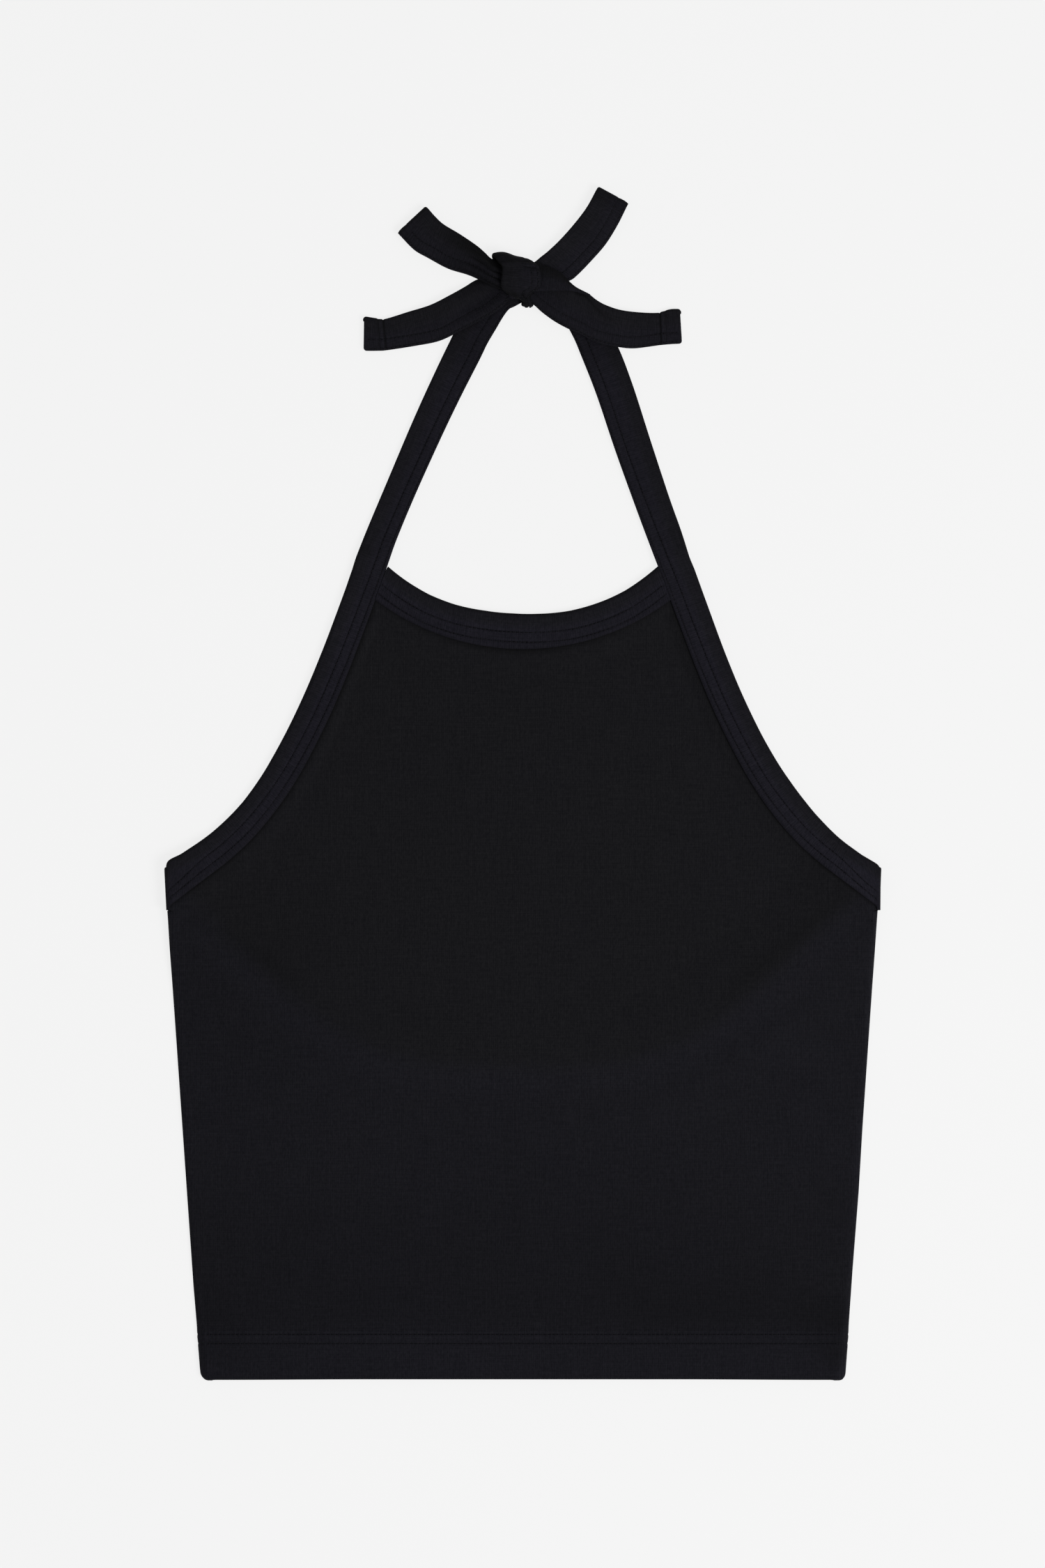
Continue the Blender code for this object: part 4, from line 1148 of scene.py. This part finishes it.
def knot_lit(s, share):
    top = 0.24 * fall(s, 10.5, 2.5) + 0.30 * bump((s - 12.2 + share) / 1.3)
    return 0.88 - top - 0.36 * rise(s, 25.0, 6.0)


def flap_lit(s, share):
    return 0.84 - 0.36 * fall(share, 0.15, 0.45)


def right_tail_lit(s, share):
    crease = bump((share - 0.14 - (s - 38.0) * 0.012) / 0.10)
    crease = crease * rise(s, 24.0, 5.0) * smooth((56.0 - s) / 14.0)
    top = fall(s, 28.0, 30.0) * fall(share, 0.05, 0.25)
    return tail_lit(s, share) - 0.34 * crease - 0.22 * top


def left_tail_folds(s, share):
    close = fall(s, 20.0, 22.0)
    ridge = 0.55 * close * np.sin(2 * math.pi * (share * 1.6 - 0.12)) * smooth(s / 8.0)
    slack = 0.18 * np.sin(s / 6.0 + 5.0 * share) * rise(s, 20.0, 10.0) * smooth((86.0 - s) / 12.0)
    return ridge + slack


def right_tail_folds(s, share):
    gather = 0.30 * np.sin(2 * math.pi * s / 1.9) * bump(s, 9.5, 4.5) * fall(share, 0.40, 0.25)
    crease = -0.45 * bump((share - 0.13 - (s - 38.0) * 0.012) / 0.10)
    crease = crease * rise(s, 26.0, 5.0) * smooth((52.0 - s) / 12.0)
    ridge = 0.45 * fall(s, 30.0, 26.0) * np.sin(2 * math.pi * (share * 1.3 + 0.1))
    slack = 0.16 * np.sin(s / 7.0 + 4.0 * share) * rise(s, 40.0, 10.0) * smooth((88.0 - s) / 12.0)
    return gather + crease + ridge + slack


def flap_folds(s, share):
    gather = 0.22 * np.sin(2 * math.pi * s / 1.9 + 0.7) * bump(s, 10.0, 4.5)
    return gather + 0.35 * (1.0 - (2 * share - 1) ** 2)


def band_folds(s, share):
    crown = 0.85 * (1.0 - (2 * share - 1) ** 4)
    top = bump(s, 9.0, 7.0)
    shoulder = 1.3 * top * bump(share, 0.26, 0.34) - 0.3 * top * bump(share, 0.95, 0.2)
    crease = -0.75 * bump((s - 12.5 - 3.0 * share) / 1.5) * rise(share, 0.45, 0.2)
    low = rise(s, 24.0, 8.0)
    pleats = 0.42 * low * np.sin(2 * math.pi * (share * 2.6 + 0.15))
    ridge = 0.30 * bump((s - 21.0 + 5.0 * share) / 2.2) * (1 - low)
    ridge = ridge - 0.22 * bump((s - 25.5 + 4.0 * share) / 1.8)
    roll = -0.55 * bump((s - 12.2 + share) / 1.5) + 0.25 * bump((s - 14.6 + share) / 1.8)
    return crown + shoulder + crease + pleats + ridge + roll


def bow(material):
    """The tie's tapes, each entering the band that is wound round their middle."""
    rows = {"left_loop": loop("left", LEFT_LOOP, material, left_loop_folds, left_loop_lit),
            "right_loop": loop("right", RIGHT_LOOP, material, right_loop_folds, right_loop_lit)}
    tapes = (
        ("left_tail", "tail_left_cloth", ["tail_left"], "armhole_strap_left_cloth",
         LEFT_TAIL, left_tail_folds, tail_lit, {"hem": True}),
        ("right_tail", "tail_right_cloth", ["tail_right"], "armhole_strap_right_cloth",
         RIGHT_TAIL, right_tail_folds, right_tail_lit, {"hem": True}),
        ("flap", "tail_right_flap", [], "tail_right_cloth",
         TAIL_FLAP, flap_folds, flap_lit, {"wall": 0.55, "slot": 0.1, "rows_at": ()}),
        ("band", "knot_band_cloth", ["knot_wrap", "knot_roll", "knot_nub"], "tail_right_cloth",
         KNOT_BAND, band_folds, knot_lit, {"spacing": 0.45, "rows_at": (1.5, 4.6), "from_behind": True}),
        ("core", "knot_core_cloth", [], None, KNOT_CORE, None, None, {"rows_at": ()}),
    )
    for part, name, nodes, below, table, folds, lit, how in tapes:
        thing, lines, size = tape(name, table, material, folds, lit, **how)
        declare(nodes)
        if lines:
            rows[part] = lines
    return rows


# ---- stage -------------------------------------------------------------------------------
def stage():
    """A plain white floor and soft studio light, stronger from the viewer's right and the hem's side."""
    mesh = bpy.data.meshes.new("floor")
    corners = [(x * FLOOR_EDGE, y * FLOOR_EDGE, FLOOR_LOW) for x, y in ((-1, -1), (1, -1), (1, 1), (-1, 1))]
    mesh.from_pydata(corners, [], [(0, 1, 2, 3)])
    floor = place("floor", mesh)
    material, _, shader = new_material("white_floor")
    shader.inputs["Base Color"].default_value = (FLOOR_GREY, FLOOR_GREY, FLOOR_GREY, 1)
    shader.inputs["Roughness"].default_value = 1.0
    shader.inputs["Specular IOR Level"].default_value = 0.0
    shader.inputs["Emission Color"].default_value = (1, 1, 1, 1)
    shader.inputs["Emission Strength"].default_value = FLOOR_GLOW
    mesh.materials.append(material)
    world = bpy.data.worlds.new("studio")
    bpy.context.scene.world = world
    world.use_nodes = True
    background = world.node_tree.nodes["Background"]
    background.inputs["Color"].default_value = (1, 1, 1, 1)
    background.inputs["Strength"].default_value = SKY
    for name, at, size, power in LAMPS:
        light = bpy.data.lights.new(name, "AREA")
        light.size = size
        light.energy = power
        lamp = place(name, light)
        lamp.location = at
        lamp.rotation_euler = (-Vector(at)).to_track_quat("-Z", "Y").to_euler()
    bpy.context.scene.view_settings.view_transform = "Standard"


def camera():
    """Straight above, with a lens long enough to keep the flat garment free of perspective."""
    frame_height, distance, sensor = 832.5 * MM, 3.2, 36.0
    middle = (-0.2 * MM, -0.15 * MM)
    data = bpy.data.cameras.new("camera")
    data.sensor_width = sensor
    data.lens = sensor * distance / frame_height
    data.clip_end = 20.0
    thing = place("camera", data)
    thing.location = (*middle, distance)
    bpy.context.scene.camera = thing


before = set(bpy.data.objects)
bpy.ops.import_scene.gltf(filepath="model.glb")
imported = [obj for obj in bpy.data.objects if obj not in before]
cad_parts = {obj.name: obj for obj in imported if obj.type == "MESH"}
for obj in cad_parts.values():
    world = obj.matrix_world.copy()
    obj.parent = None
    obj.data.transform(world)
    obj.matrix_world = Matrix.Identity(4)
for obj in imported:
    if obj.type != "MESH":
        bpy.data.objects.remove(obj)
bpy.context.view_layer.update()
body = jersey("body_jersey_knit", (0.0032, 0.0032, 0.0042), (0.0078, 0.0077, 0.0086), (0.98, 0.95, 1.22))
bound = jersey("binding_jersey_knit", (0.0034, 0.0034, 0.0046), (0.0086, 0.0083, 0.0098), (0.98, 0.93, 1.22))
sewing = (thread("sewing_thread", (0.0030, 0.0030, 0.0038), (0.0082, 0.0079, 0.0102)),
          needle_hole_shadow("needle_hole_shadow", (0.0024, 0.0024, 0.0030), (0.0062, 0.0060, 0.0078)))
bow_sewing = (thread("bow_thread", (0.0044, 0.0044, 0.0054), (0.0092, 0.0088, 0.0112)),
              needle_hole_shadow("bow_needle_hole_shadow", (0.0036, 0.0036, 0.0046), (0.0078, 0.0076, 0.0096)))
front_rows = front_panel(body)
back_rows = back_panel(body)
neck_rows = neck_binding(bound)
back_edge_rows = back_binding(bound)
strap_rows = {side: armhole_strap(side, bound) for side in ("left", "right")}
bow_rows = bow(bound)
stitches("front_hem_stitches", front_rows, sewing)
stitches("back_hem_stitches", back_rows, sewing)
stitches("neck_stitches", neck_rows, sewing)
stitches("back_binding_stitches", back_edge_rows, sewing)
for side, rows in strap_rows.items():
    stitches(f"strap_stitches_{side}", rows, sewing)
for part, rows in bow_rows.items():
    trim = 4 if part != "band" else 30
    rows = [(points[trim:-3], up[trim:-3]) for points, up in rows]
    stitches(f"{part}_stitches", rows, bow_sewing)
stage()
camera()
